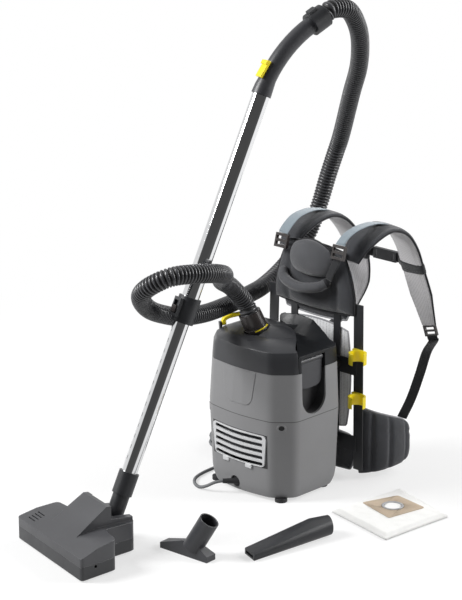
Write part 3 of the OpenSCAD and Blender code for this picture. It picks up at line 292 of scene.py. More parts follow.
def bump(m, height, strength, distance, normal=None):
    b = add(m, "ShaderNodeBump")
    set_inputs(b, Strength=strength, Distance=distance)
    link(m, height, b.inputs["Height"])
    if normal is not None:
        link(m, normal, b.inputs["Normal"])
    return b.outputs["Normal"]


def plastic(name, color, rough=0.45, grain=900.0, grain_depth=0.00008, wear=0.25, edge=0.0009, spread=0.10,
            **sockets):
    """Moulded plastic: grain, slight cloudiness, uneven gloss, and edges rubbed lighter."""
    m, b = base_material(name, rough, **sockets)
    v = coords(m)
    cloud = noise_tex(m, v, 9.0, 4.0, 0.6)
    col = ramp(m, cloud, [(0.25, shade(color, 1 - spread)), (0.75, shade(color, 1 + spread))])
    bev = add(m, "ShaderNodeBevel", samples=4)
    bev.inputs["Radius"].default_value = edge
    geo = add(m, "ShaderNodeNewGeometry")
    dot = add(m, "ShaderNodeVectorMath", operation="DOT_PRODUCT")
    link(m, bev.outputs["Normal"], dot.inputs[0])
    link(m, geo.outputs["Normal"], dot.inputs[1])
    rub = map_range(m, dot.outputs["Value"], wear, 0.0, 0.86, 0.995)
    worn = add(m, "ShaderNodeMix", data_type="RGBA")
    worn.inputs["B"].default_value = (*[min(1.0, c * 1.8 + 0.06) for c in color], 1)
    link(m, rub, worn.inputs["Factor"])
    link(m, col, worn.inputs["A"])
    link(m, worn.outputs["Result"], b.inputs["Base Color"])
    patch = noise_tex(m, v, 38.0, 3.0, 0.6)
    link(m, map_range(m, patch, rough - 0.05, rough + 0.07, 0.3, 0.7), b.inputs["Roughness"])
    fine = noise_tex(m, v, grain, 2.0, 0.5)
    link(m, bump(m, fine, 0.55, grain_depth, bev.outputs["Normal"]), b.inputs["Normal"])
    return m


def box_mask(m, centre, half, soft=0.5):
    """1 inside a box of the frame, in millimetres, falling to 0 over the soft distance."""
    tc = add(m, "ShaderNodeTexCoord")
    off = add(m, "ShaderNodeVectorMath", operation="SUBTRACT")
    off.inputs[1].default_value = mm(centre)
    size = add(m, "ShaderNodeVectorMath", operation="ABSOLUTE")
    axes = add(m, "ShaderNodeSeparateXYZ")
    link(m, tc.outputs["Object"], off.inputs[0])
    link(m, off.outputs["Vector"], size.inputs[0])
    link(m, size.outputs["Vector"], axes.inputs["Vector"])
    out = None
    for axis, h in zip("XYZ", half):
        step = map_range(m, axes.outputs[axis], 1.0, 0.0, h * MM, (h + soft) * MM)
        out = step if out is None else combine(m, "MULTIPLY", out, step)
    return out


def dark_joints_and_painted_shade(m, color, *masks):
    """Lays a dark colour over the base colour where a mask is 1: the dark of joints, and painted shade in
    grooves and recesses.
    """
    base = m.node_tree.nodes["Principled BSDF"].inputs["Base Color"]
    for mask in masks:
        mix = add(m, "ShaderNodeMix", data_type="RGBA")
        mix.inputs["B"].default_value = (*color, 1)
        link(m, base.links[0].from_socket, mix.inputs["A"])
        link(m, mask, mix.inputs["Factor"])
        link(m, mix.outputs["Result"], base)
    return m


def metal(name, color, rough):
    """Polished or machined metal with fine drawing marks and faint handling haze."""
    m, b = base_material(name, rough, 1.0)
    line = noise_tex(m, coords(m, (1, 1, 0.04)), 700.0, 2.0, 0.6)
    haze = noise_tex(m, coords(m), 26.0, 4.0, 0.65)
    link(m, ramp(m, haze, [(0.3, shade(color, 0.93)), (0.7, color)]), b.inputs["Base Color"])
    link(m, map_range(m, haze, rough * 0.7, rough * 1.6, 0.35, 0.7), b.inputs["Roughness"])
    link(m, bump(m, line, 0.25, 0.00004), b.inputs["Normal"])
    return m


def weave(name, color, scale=520.0, depth=0.00028, rough=0.92, turn=(0, 0, 0.78), sheen=0.35, fade=0.16,
          contrast=0.28):
    """Woven cloth: crossing yarns in colour and relief, soft fading, light fuzz."""
    m, b = base_material(name, rough, Sheen_Weight=sheen, Sheen_Roughness=0.45, Specular_IOR_Level=0.25)
    v = coords(m, (1, 1, 1), turn)
    waves = []
    for axis in ("X", "Z"):
        w = add(m, "ShaderNodeTexWave", wave_type="BANDS", bands_direction=axis, wave_profile="SIN")
        set_inputs(w, Scale=scale, Distortion=1.1, Detail=1.0)
        w.inputs["Detail Scale"].default_value = 1.5
        link(m, v, w.inputs["Vector"])
        waves.append(w.outputs["Fac"])
    yarns = combine(m, "MULTIPLY", *waves)
    cloud = noise_tex(m, v, 14.0, 5.0, 0.6)
    soft = ramp(m, cloud, [(0.25, shade(color, 1 - fade)), (0.75, shade(color, 1 + fade))])
    dark = add(m, "ShaderNodeMix", data_type="RGBA")
    dark.inputs["B"].default_value = (*shade(color, 0.45), 1)
    link(m, map_range(m, yarns, contrast, 0.0, 0.1, 0.7), dark.inputs["Factor"])
    link(m, soft, dark.inputs["A"])
    link(m, dark.outputs["Result"], b.inputs["Base Color"])
    link(m, map_range(m, cloud, rough - 0.08, min(1.0, rough + 0.05), 0.3, 0.7), b.inputs["Roughness"])
    wrinkle = noise_tex(m, v, 55.0, 4.0, 0.6, 0.4)
    first = bump(m, wrinkle, 0.35, 0.0012)
    link(m, bump(m, yarns, 0.7, depth, first), b.inputs["Normal"])
    return m


def spacer_mesh(name, color, cell=330.0):
    """Knitted spacer mesh: rows of small dark pores in a pale knit."""
    m, b = base_material(name, 0.9, Sheen_Weight=0.3, Sheen_Roughness=0.5, Specular_IOR_Level=0.2)
    v = coords(m, (1, 1, 1), (0.0, 0.0, 0.4))
    vor = add(m, "ShaderNodeTexVoronoi", feature="F1")
    set_inputs(vor, Scale=cell, Randomness=0.18)
    link(m, v, vor.inputs["Vector"])
    pore = map_range(m, vor.outputs["Distance"], 0.0, 1.0, 0.12, 0.42)
    cloud = noise_tex(m, v, 16.0, 4.0)
    lit = ramp(m, cloud, [(0.25, shade(color, 0.88)), (0.75, shade(color, 1.08))])
    mix = add(m, "ShaderNodeMix", data_type="RGBA")
    mix.inputs["A"].default_value = (*shade(color, 0.42), 1)
    link(m, pore, mix.inputs["Factor"])
    link(m, lit, mix.inputs["B"])
    link(m, mix.outputs["Result"], b.inputs["Base Color"])
    link(m, map_range(m, cloud, 0.84, 0.96), b.inputs["Roughness"])
    link(m, bump(m, pore, 0.6, 0.0005), b.inputs["Normal"])
    return m


def fleece_cloth(name, color):
    """Soft non-woven fleece: matted fibres, faint clouds, small dents."""
    m, b = base_material(name, 0.95, Sheen_Weight=0.4, Sheen_Roughness=0.6, Specular_IOR_Level=0.15)
    v = coords(m)
    fibre = noise_tex(m, v, 1400.0, 3.0, 0.75, 2.2)
    cloud = noise_tex(m, v, 45.0, 5.0, 0.65)
    link(m, ramp(m, cloud, [(0.25, shade(color, 0.94)), (0.75, color)]), b.inputs["Base Color"])
    link(m, map_range(m, cloud, 0.9, 1.0), b.inputs["Roughness"])
    first = bump(m, cloud, 0.3, 0.0015)
    link(m, bump(m, fibre, 0.4, 0.0002, first), b.inputs["Normal"])
    return m


def cardboard(name, color):
    """Plain card: short fibres and a faint corrugation."""
    m, b = base_material(name, 0.82, Specular_IOR_Level=0.3)
    v = coords(m, (1, 7, 1), (0, 0, 0.3))
    fibre = noise_tex(m, v, 260.0, 4.0, 0.7)
    cloud = noise_tex(m, coords(m), 60.0, 4.0)
    link(m, ramp(m, fibre, [(0.3, shade(color, 0.86)), (0.7, shade(color, 1.06))]), b.inputs["Base Color"])
    link(m, map_range(m, cloud, 0.76, 0.9), b.inputs["Roughness"])
    link(m, bump(m, fibre, 0.3, 0.00015), b.inputs["Normal"])
    return m


BLACK = plastic("moulded_black", (0.022, 0.023, 0.026), 0.42)
HOUSING = plastic("housing_grey", (0.235, 0.235, 0.24), 0.5, 700.0, 0.0001, 0.18, 0.0012, 0.035)
# Dark colour laid on the housing: a thin seam line at z 178 (the joint's own dark), then painted shade in the
# pocket on the right side and painted shade in the groove round the grille.
dark_joints_and_painted_shade(HOUSING, (0.03, 0.03, 0.032), box_mask(HOUSING, (0, 0, 178), (200, 200, 0.45), 0.35),
         box_mask(HOUSING, (106, 2.5, 243), (11.5, 36.5, 60), 1.2),
         box_mask(HOUSING, (0, -96, 110), (76.4, 14, 36.2), 0.4))
LID = plastic("lid_anthracite", (0.036, 0.037, 0.041), 0.34, 800.0, 0.00008, 0.15, 0.0014, 0.06)
GLOSS = plastic("tray_gloss", (0.014, 0.015, 0.017), 0.34, 300.0, 0.00002, 0.1, 0.0015, 0.08,
                Specular_IOR_Level=0.22)
SILVER = plastic("grille_silver", (0.62, 0.625, 0.635), 0.32, 600.0, 0.00005, 0.12, 0.0012, 0.04,
                 Specular_IOR_Level=0.6)
YELLOW = plastic("accent_yellow", (0.86, 0.69, 0.012), 0.34, 500.0, 0.00004, 0.1, 0.001, 0.04)
DARK = plastic("dark_grey_moulded", (0.042, 0.043, 0.048), 0.38, 700.0, 0.00008, 0.3)
BROWN = plastic("brown_black_moulded", (0.034, 0.029, 0.028), 0.24, 500.0, 0.00003, 0.08, 0.0005)
RED = plastic("switch_red", (0.45, 0.025, 0.02), 0.35, 500.0, 0.00004, 0.1)
# Near-black colour for the hose's rib grooves and the floors of the screw recesses: painted shade.
PAINTED_SHADE_BLACK = plastic("painted_shade_black", (0.006, 0.006, 0.007), 0.6, 420.0, 0.00004, 0.05, 0.0003)
HOSE = plastic("hose_gloss", (0.05, 0.051, 0.056), 0.27, 420.0, 0.00006, 0.12, 0.0004, 0.12,
               Specular_IOR_Level=0.6)
CORD = plastic("lead_grey", (0.16, 0.165, 0.172), 0.55, 900.0, 0.00006, 0.05, 0.0004)
RUBBER = plastic("black_rubber", (0.018, 0.018, 0.02), 0.68, 650.0, 0.0001, 0.2)
CHROME = metal("tube_chrome", (0.86, 0.865, 0.875), 0.055)
STEEL = metal("machined_steel", (0.52, 0.53, 0.54), 0.28)
CHARCOAL = weave("charcoal_cloth", (0.058, 0.06, 0.067))
CHARCOAL_LIGHT = weave("charcoal_cloth_light", (0.1, 0.102, 0.11))
STRAP_IN = spacer_mesh("lining_mesh_light", (0.56, 0.55, 0.56), 420.0)
# Pale knit of the spine pad, set much lighter than the strap lining's knit to make up for the shade it sits
# in behind the housing: partly its own pale colour, partly painted light.
MESH = spacer_mesh("spine_mesh_painted_lighter", (0.86, 0.865, 0.88), 300.0)
MESH_DARK = spacer_mesh("back_mesh_grey", (0.16, 0.163, 0.175), 340.0)
WEB_BLUE = weave("webbing_blue_grey", (0.29, 0.35, 0.395), 700.0, 0.0002, 0.7, (0, 0, 0), 0.5, 0.08, 0.2)
WEB_BLACK = weave("webbing_black", (0.026, 0.027, 0.03), 700.0, 0.0002, 0.75, (0, 0, 0), 0.3, 0.1, 0.25)
PIPING_DARK = weave("piping_dark", (0.02, 0.02, 0.023), 900.0, 0.0001, 0.8, (0, 0, 0), 0.2, 0.08, 0.2)
PIPING_LIGHT = weave("piping_light", (0.36, 0.36, 0.38), 900.0, 0.0001, 0.8, (0, 0, 0), 0.3, 0.08, 0.2)
FLEECE = fleece_cloth("white_fleece", (0.92, 0.918, 0.9))
NOZZLE_TOP = plastic("nozzle_moulded", (0.062, 0.063, 0.068), 0.34, 700.0, 0.0001, 0.3, 0.0016)
NOZZLE_LOW = plastic("nozzle_base_moulded", (0.034, 0.035, 0.038), 0.38, 700.0, 0.0001, 0.3, 0.0014)
CARD = cardboard("tan_card", (0.56, 0.455, 0.345))
RING_GREY = plastic("collar_ring_grey", (0.42, 0.42, 0.43), 0.45, 500.0, 0.00004, 0.1)
BRISTLE = weave("bristle_black", (0.015, 0.015, 0.017), 1500.0, 0.0006, 0.8, (0, 0, 0), 0.1, 0.2, 0.5)

BY_SLOT = {
    "black_plastic": BLACK, "housing_grey": HOUSING, "lid_grey": LID, "gloss_black": GLOSS,
    "silver_plastic": SILVER, "yellow_plastic": YELLOW, "dark_grey_plastic": DARK,
    "brown_black_plastic": BROWN, "red_plastic": RED, "hose_plastic": HOSE, "cord_rubber": CORD,
    "black_rubber": RUBBER, "chrome_tube": CHROME, "steel": STEEL, "charcoal_fabric": CHARCOAL,
    "mesh_fabric": MESH, "webbing_blue_grey": WEB_BLUE, "webbing_black": WEB_BLACK,
    "fleece": FLEECE, "bristle": BRISTLE,
}
BY_NODE = {  # nodes whose look differs from their slot's
    "exhaust_filter": CHARCOAL, "latch_flap": LID, "nozzle_cover": NOZZLE_TOP, "nozzle_base": NOZZLE_LOW,
}


# ---------------------------------------------------------------- camera

camera = bpy.data.objects.new("camera", bpy.data.cameras.new("camera"))
SCENE.collection.objects.link(camera)
camera.location = (2.98692, -3.20817, 1.74043)
aim = Vector((-0.13532, 0.025, 0.36628))
camera.rotation_euler = (aim - camera.location).to_track_quat("-Z", "Y").to_euler()
camera.data.lens = 134.0
camera.data.sensor_width = 36.0
camera.data.clip_end = 60.0
SCENE.camera = camera


# ---------------------------------------------------------------- hose and mains lead

INLET = Vector((-18, -16, 332))
INLET_LEAN, INLET_TURN = 23.5, 230
INLET_AXIS = turned((0, 0, 1), INLET_LEAN, INLET_TURN)
PIVOT = Vector((6, -460, 42))
WAND_LEAN, WAND_TURN = 23.2, 77.1
CUFF_AT = 6.0
BEND_R, BEND_A, TUBE_TOP = 254.0, 39.0, 888.0


def wand_point(p):
    return PIVOT + turned(p, WAND_LEAN, WAND_TURN)


HANDLE_END = wand_point((BEND_R * (1 - math.cos(math.radians(BEND_A))), 0,
                         TUBE_TOP + BEND_R * math.sin(math.radians(BEND_A))))
HANDLE_AXIS = turned((0, 0, 1), WAND_LEAN + BEND_A, WAND_TURN)
HOSE_MID = [
    (-38, -74, 436), (-20, -121, 463), (28, -168, 489), (85, -226, 520), (112, -300, 543),
    (104, -375, 552), (73, -402, 535), (36, -397, 508), (4, -366, 478), (-22, -320, 446),
    (-42, -265, 420), (-57, -200, 397), (-69, -120, 384), (-86, -40, 379), (-114, 25, 371),
    (-143, 90, 364), (-156, 143, 366), (-160, 195, 384), (-160, 245, 415), (-157, 292, 459),
    (-150, 318, 518), (-138, 329, 577), (-121, 334, 632), (-96, 325, 680), (-15, 262, 790),
    (40, 220, 862), (80, 176, 926), (106, 132, 972), (121, 88, 1004),
]
hose_route = ([INLET + INLET_AXIS * (34.3 + d) for d in (0, 19, 38)] + [Vector(p) for p in HOSE_MID]
              + [HANDLE_END + HANDLE_AXIS * (20 + d) for d in (38, 19, 0)])
hose_curve = [p * MM for p in smooth(hose_route, 10)]
HOSE_LENGTH = path_length(hose_curve)
RIB_PITCH = 0.007
RIB_PROFILE = (0.0158, 0.0162, 0.0183, 0.0189, 0.0189, 0.0183)  # radii over one rib
RIB_STEPS = len(RIB_PROFILE)
fine = resample(hose_curve, int(HOSE_LENGTH / RIB_PITCH) * RIB_STEPS)
radii = [RIB_PROFILE[i % RIB_STEPS] * (1 + 0.004 * noise.noise(q * 30)) for i, q in enumerate(fine)]
# The three faces at each rib's groove take the near-black colour: painted shade in the grooves.
hose = tube("ribbed_hose", fine, radii, 28, HOSE, (1, 0, 0), PAINTED_SHADE_BLACK,
            lambda j, i: 1 if j % RIB_STEPS in (5, 0, 1) else 0)
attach(hose, "root")
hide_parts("hose")
[tuple(p) for p in resample(hose_curve, 400)]

CORD_D = 7.0
GLAND = Vector((-5, -86, 26))
GLAND_DIR = Vector((math.sin(math.radians(-45)), -math.cos(math.radians(-45)), 0))
CORD_MID = [
    (-42, -121, 22), (-58, -128, 12), (-78, -129, 4.5), (-102, -119, 3.5), (-122, -96, 3.5),
    (-132, -60, 3.5), (-134.5, -15, 3.5), (-134.5, 35, 3.5), (-134.5, 75, 3.5),
]
COIL_CENTRE, COIL_D, TURNS, LAYERS = (-194, 106), 84.0, 18.25, 4
COIL_TAIL = [
    (-208, 170, 26.3), (-223, 175, 22), (-236, 184, 16), (-243, 197, 13), (-244, 210, 13), (-244, 218, 13),
]


def coil_point(t):
    per = TURNS / LAYERS
    layer = min(LAYERS - 1, int(t / per))
    part = t - layer * per
    pitch = CORD_D + 1.6
    reach = pitch * (per - 0.5)
    last = layer == LAYERS - 1
    run = min(part, per if last else per - 0.5) * pitch
    r = COIL_D / 2 + (reach / 2 - run if layer % 2 == 0 else run - reach / 2)
    climb = 0 if last else max(0.0, part - (per - 0.5)) / 0.5
    a = 2 * math.pi * t
    return Vector((COIL_CENTRE[0] + r * math.cos(a), COIL_CENTRE[1] + r * math.sin(a),
                   CORD_D / 2 + (CORD_D + 0.6) * (layer + climb)))


coil_loops = [coil_point(i / 24) for i in range(int(TURNS * 24) + 1)]
start_of_coil = coil_loops[0] - Vector((0, CORD_D, 0))
lead = smooth([GLAND + GLAND_DIR * 26, GLAND + GLAND_DIR * 34] + [Vector(p) for p in CORD_MID]
              + [start_of_coil - Vector((0, 0.3, 0))], 6)
cord_route = [p * MM for p in lead + [start_of_coil] + coil_loops + smooth(COIL_TAIL, 4)]
mains = tube("mains_lead", cord_route, [CORD_D / 2 * MM] * len(cord_route), 12, CORD, (1, 0, 0))
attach(mains, "root")
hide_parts("mains_cord", "mains_coil")


# ---------------------------------------------------------------- carried-over solids

for row in frame["record"]["subparts"]:
    o = NODE[row["node"]]
    o.data.materials.clear()
    o.data.materials.append(BY_SLOT[row["material_slot"]])
    if row["node"] in BY_NODE:
        o.data.materials[0] = BY_NODE[row["node"]]
    o.data.polygons.foreach_set("material_index", [0] * len(o.data.polygons))
    o.data.polygons.foreach_set("use_smooth", [True] * len(o.data.polygons))
    weld = o.modifiers.new("weld", "WELD")
    weld.merge_threshold = 0.00002
    split = o.modifiers.new("edges", "EDGE_SPLIT")
    split.split_angle = EDGE_ANGLE


def surface(name):
    """A CAD node's skin, to set small pieces on."""
    me = NODE[name].data
    return BVHTree.FromPolygons([v.co.copy() for v in me.vertices], [tuple(p.vertices) for p in me.polygons])


# ---------------------------------------------------------------- padded pieces

PAD_PRESSURE = 3.0
PIPING_R, EDGE_R, WING_R = 0.0019, 0.0017, 0.0021


def settle(o, pressure, cap, steps=20):
    """Swells a pad with a short cloth run, holding each point within cap of its start."""
    bpy.context.view_layer.objects.active = o
    for other in bpy.context.selected_objects:
        other.select_set(False)
    o.select_set(True)
    before = [v.co.copy() for v in o.data.vertices]
    cloth = o.modifiers.new("cloth", "CLOTH")
    cloth.settings.quality = 4
    cloth.settings.mass = 0.3
    cloth.settings.use_pressure = True
    cloth.settings.uniform_pressure_force = pressure
    cloth.settings.tension_stiffness = 12
    cloth.settings.compression_stiffness = 12
    cloth.settings.bending_stiffness = 0.6
    cloth.settings.effector_weights.gravity = 0
    cloth.collision_settings.use_collision = False
    for f in range(1, steps + 1):
        SCENE.frame_set(f)
    bpy.ops.object.modifier_apply(modifier="cloth")
    SCENE.frame_set(1)
    for v, was in zip(o.data.vertices, before):
        move = v.co - was
        if move.length > cap:
            v.co = was + move * (cap / move.length)
    o.data.update()


def crowned_pad(name, x, z, y, t, side, mats, node, taper=0.0, lean=0.0, corner=0.10, power=4,
                channels_x=(), channels_z=(), depth=0.32, wrinkle=0.0012, piping=PIPING_DARK,
                arch=0.0, swell=0.0):
    """A stuffed panel: flat back, crowned front, sides drawn in, sewn channels and a piped rim."""
    cols, rows, hem = 44, 36, 1.5
    top, under = [], []

    def spot(u, v):
        px = (x[0] + x[1]) / 2 + u * (1 - corner * v * v) * (x[1] - x[0]) / 2 * (1 + taper * v)
        pz = (z[0] + z[1]) / 2 + v * (1 - corner * u * u) * (z[1] - z[0]) / 2
        pz += arch * (1 - u * u) * max(0.0, v)
        return px, y + side * v * (1 - corner * u * u) * lean, pz

    for j in range(rows + 1):
        v = -math.cos(math.pi * j / rows)
        a_row, b_row = [], []
        for i in range(cols + 1):
            u = -math.cos(math.pi * i / cols)
            px, py, pz = spot(u, v)
            inside = max(0.0, 1 - abs(u) ** power) * max(0.0, 1 - abs(v) ** power)
            crown = inside ** 0.45 if abs(u) < 1 and abs(v) < 1 else 0.0
            sewn = min(0.85, depth * (crease(channels_x, u, 0.055) + crease(channels_z, v, 0.07)))
            h = hem + (t - hem) * crown * (1.0 - sewn)
            n = noise.noise(Vector((px * 0.028, pz * 0.028, y * 0.1)))
            n += 0.5 * noise.noise(Vector((px, pz, y)) * 0.07)
            h += wrinkle * 1000 * n * crown
            a_row.append(Vector((px, py + side * h, pz)) * MM)
            b_row.append(Vector((px, py, pz)) * MM)
        top.append(a_row)
        under.append(b_row)
    faces, loop = slab_faces(cols, rows)
    face_mat = [0, len(mats) - 1] * (rows * cols) + [0] * len(loop)
    o = recalc(obj_from(name, [v for r in top + under for v in r], faces, mats, face_mat))
    if swell > 0:
        settle(o, PAD_PRESSURE, swell)
    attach(o, "root")
    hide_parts(node)
    rim = [under[j][i] + Vector((0, side * 1.2 * MM, 0)) for j, i in loop]
    rim = [p for k, p in enumerate(rim) if k == 0 or (p - rim[k - 1]).length > 0.0008] + [rim[0]]
    rim = resample(rim, 150)
    pipe = tube(name + "_piping", rim, [PIPING_R] * len(rim), 8, piping, (0, 1, 0))
    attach(pipe, "root")


STRUT_HALF = 1.5


def strut_y(zz):
    """The harness struts' y, which leans a little with the height."""
    return 141 + (142 - 141) * (zz - 22) / (384 - 22)


def on_back(z, gap=0.3):
    """Where a pad's flat side starts behind the struts at a height."""
    return strut_y(z) + STRUT_HALF + gap


FRONT = -1
BACK = 1
crowned_pad("yoke_cover_cloth", (-104, 104), (352, 496), 142 - STRUT_HALF - 0.3, 15, FRONT, [CHARCOAL],
            "yoke_cover", taper=-0.18, channels_x=(-0.60, 0.62), depth=0.30, wrinkle=0.0011, swell=0.002)
crowned_pad("head_pad_cloth", (-54, 62), (429, 496), 142 - 17.2, 22, FRONT, [CHARCOAL_LIGHT],
            "head_pad", taper=0.02, power=2.1, corner=0.18, wrinkle=0.0009, arch=10.0, swell=0.002)
crowned_pad("back_pad_cloth", (-98, 98), (336, 456), on_back(336), 22, BACK, [MESH_DARK, CHARCOAL],
            "back_pad", taper=0.05, channels_z=(0.0,), depth=0.35, wrinkle=0.0009, piping=PIPING_LIGHT,
            swell=0.002)
# Its mesh colour is lightened against the shade here: painted light.
crowned_pad("spine_pad_mesh", (-97, 97), (100, 330), on_back(215, 0.6), 16, BACK, [MESH, MESH],
            "spine_pad", lean=-(strut_y(100) - strut_y(330)) / 2, channels_x=(-0.33, 0.33),
            channels_z=(-0.4, 0.2), depth=0.45, wrinkle=0.0007, piping=PIPING_LIGHT)
crowned_pad("lumbar_pad_cloth", (-112, 112), (12, 96), on_back(54), 26, BACK, [MESH_DARK, CHARCOAL],
            "lumbar_pad", lean=-(strut_y(12) - strut_y(96)) / 2, channels_x=(-0.45, 0.45), depth=0.3,
            wrinkle=0.001, piping=PIPING_LIGHT, swell=0.002)


def belt_wing(s, name, node):
    """Wing of the belt: dark outer cloth with sewn panels, pale lining and a piped upper edge."""
    path = smooth([(114, 158, 82), (130, 162, 82), (147, 178, 80), (157, 206, 76), (157, 240, 70),
                   (146, 268, 62)], 10)
    n = len(path)
    rings, edge_top = [], []
    sides = 36
    for i, c in enumerate(path):
        w = i / (n - 1)
        t = (path[min(i + 1, n - 1)] - path[max(i - 1, 0)]).normalized()
        out = Vector((t.y, -t.x, 0)).normalized()
        h = (148 - 70 * w ** 1.4) / 2
        panel = 1 - 0.42 * crease((0.30, 0.55, 0.82), w, 0.028)
        end = min(1.0, (1 - w) * 9 + 0.35) * min(1.0, w * 12 + 0.5)
        ring = []
        for a in circle(sides):
            zz = h * rounded(math.cos(a), 0.72)
            d = rounded(math.sin(a), 0.62)
            bulge = (13.2 if d > 0 else 9.4) * d * panel * end
            bulge *= 1 - 0.25 * crease((0.42,), zz / h, 0.06) * (d > 0)
            wr = 0.9 * noise.noise(Vector((c.x * s, c.y, zz)) * 0.045)
            px, py = c.x + out.x * (bulge + 1 + wr), c.y + out.y * (bulge + 1 + wr)
            ring.append(Vector((s * px, py, max(2.2, c.z + zz))) * MM)
        rings.append(ring)
        edge_top.append(Vector((s * (c.x + out.x), c.y + out.y, c.z + h + 0.4)) * MM)
    o = lofted(name, rings, [CHARCOAL, MESH_DARK], lambda j, i: 1 if sides * 0.54 < i < sides * 0.96 else 0)
    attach(o, "root")
    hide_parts(node)
    pipe = tube(name + "_piping", resample(edge_top, 60), [WING_R] * 61, 8, PIPING_LIGHT, (0, 1, 0))
    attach(pipe, "root")


belt_wing(1, "hip_wing_right", "hip_belt_right")
belt_wing(-1, "hip_wing_left", "hip_belt_left")

STRAP_RIGHT = [(88, 147, 471), (91, 169, 500), (95, 203, 519), (97, 243, 526), (97, 287, 508),
               (97, 320, 468), (98, 343, 415), (108, 361, 350), (124, 368, 290)]
STRAP_LEFT = [(-84, 147, 471), (-85, 169, 498), (-84, 207, 516), (-82, 255, 522), (-80, 298, 504),
              (-78, 336, 463), (-78, 364, 412), (-92, 382, 350), (-114, 386, 290)]
STRAP_W, STRAP_T, STRAP_STEPS, STRAP_SIDES = 66.0, 15.0, 120, 40


def strap_path(points):
    """The strap's even centre line and its frames."""
    path = resample(smooth(points, 12), STRAP_STEPS)
    return path, frames(path, (1, 0, 0))


def strap_section(a, rise=0.0):
    """Half width and half thickness of a strap at an angle round it."""
    return ((STRAP_W / 2 + rise) * rounded(math.cos(a), 0.6),
            (STRAP_T / 2 + rise) * rounded(math.sin(a), 0.75))


def shoulder(name, points, node):
    """Padded strap: dark outer cloth with a sewn line inside each edge, pale mesh on the wearer's side."""
    coarse = smooth(points, 2)
    path, rows = strap_path(points)
    total = len(coarse) - 1
    rings, edges = [], ([], [])
    for i, (c, (t, s, u)) in enumerate(zip(path, rows)):
        w = i / STRAP_STEPS * total
        k = min(1.0, 0.72 + 0.14 * w, 0.62 + 0.14 * (total - w) if w > total - 3 else 1.0)
        ring = []
        for a in circle(STRAP_SIDES):
            x, y = strap_section(a)
            y *= 1 - 0.22 * crease((-0.74, 0.74), 2 * x / STRAP_W, 0.05)
            y += 0.5 * noise.noise(Vector((x, i * 0.9, 3.0)) * 0.08)
            ring.append((c + s * (k * x) + u * (k * y)) * MM)
        rings.append(ring)
        for e, sign in zip(edges, (-1, 1)):
            e.append((c + s * (sign * k * (STRAP_W / 2 - 0.4))) * MM)

    o = lofted(name, rings, [CHARCOAL, STRAP_IN],
               lambda j, i: 1 if STRAP_SIDES * 0.03 < i < STRAP_SIDES * 0.46 else 0)
    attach(o, "root")
    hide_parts(node)
    for e, tag in zip(edges, ("a", "b")):
        pipe = tube(name + "_edge_" + tag, e, [EDGE_R] * len(e), 8, PIPING_DARK, (1, 0, 0))
        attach(pipe, "root")
    return coarse


right_curve = shoulder("shoulder_pad_right", STRAP_RIGHT, "shoulder_strap_right")
left_curve = shoulder("shoulder_pad_left", STRAP_LEFT, "shoulder_strap_left")


def webbing(name, points, width, mat, across, thick=1.8, n=8, node=None):
    o = ribbon(name, [p * MM for p in smooth(points, n)], width * MM, thick * MM, mat, across)
    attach(o, "root")
    if node:
        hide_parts(node)


webbing("lifter_web_right", [(84, 120.6, 509.2), (84, 122.1, 511.8), (84, 123.6, 514.4), (86, 141, 528),
                             (90, 169, 538), (94, 207, 541), (97, 243, 534.8)],
        25, WEB_BLUE, (1, 0, 0), node="lifter_straps")
webbing("lifter_web_left", [(-75, 120.6, 505.2), (-75, 122.1, 507.8), (-75, 123.6, 510.4), (-76, 141, 524),
                            (-79, 169, 535), (-81, 212, 538), (-82, 255, 530.8)],
        25, WEB_BLUE, (1, 0, 0))
webbing("sternum_web_left", [(-43.2, 357.5, 425), (-40, 363, 424), (-37, 366, 423), (-34.7, 366, 423),
                             (-32.4, 366, 423)],
        20, WEB_BLACK, (0, 0, 1), node="sternum_strap")
webbing("sternum_web_right", [(32.4, 366, 423), (34.7, 366, 423), (37, 366, 423), (48, 356, 424),
                              (64.4, 343, 425)],
        20, WEB_BLACK, (0, 0, 1))


def keeper(name, points, at, width):
    """Loop of dark webbing round a shoulder strap, where the sternum webbing is sewn on."""
    path, rows = strap_path(points)
    rings = []
    first = int(at * STRAP_STEPS)
    last = first + max(2, round(width / (path_length(path) / STRAP_STEPS)))
    for i in range(first, last + 1):
        c, (t, s, u) = path[i], rows[i]
        rise = 1.3 if first < i < last else 0.7
        section = [strap_section(a, rise) for a in circle(STRAP_SIDES)]
        rings.append([(c + s * x + u * y) * MM for x, y in section])
    o = lofted(name, rings, [WEB_BLACK])
    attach(o, "root")


keeper("strap_keeper_right", STRAP_RIGHT, 0.64, 24)
keeper("strap_keeper_left", STRAP_LEFT, 0.64, 24)


def strap_exit(curve, d):
    a, b = curve[-2], curve[-1]
    return b + (d + 0.3) * (b - a).normalized()


webbing("lower_web_right", [(156, 244, 119.6), (156, 274, 156), (152, 306, 202), (143, 338, 240)]
        + [strap_exit(right_curve, 24 + d) for d in (12, 6, 0.3)], 25, WEB_BLACK, (1, 0, 0),
        node="lower_straps")
webbing("lower_web_left", [(-156, 244, 119.6), (-156, 280, 156), (-150, 318, 202), (-138, 354, 240)]
        + [strap_exit(left_curve, 24 + d) for d in (12, 6, 0.3)], 25, WEB_BLACK, (1, 0, 0))

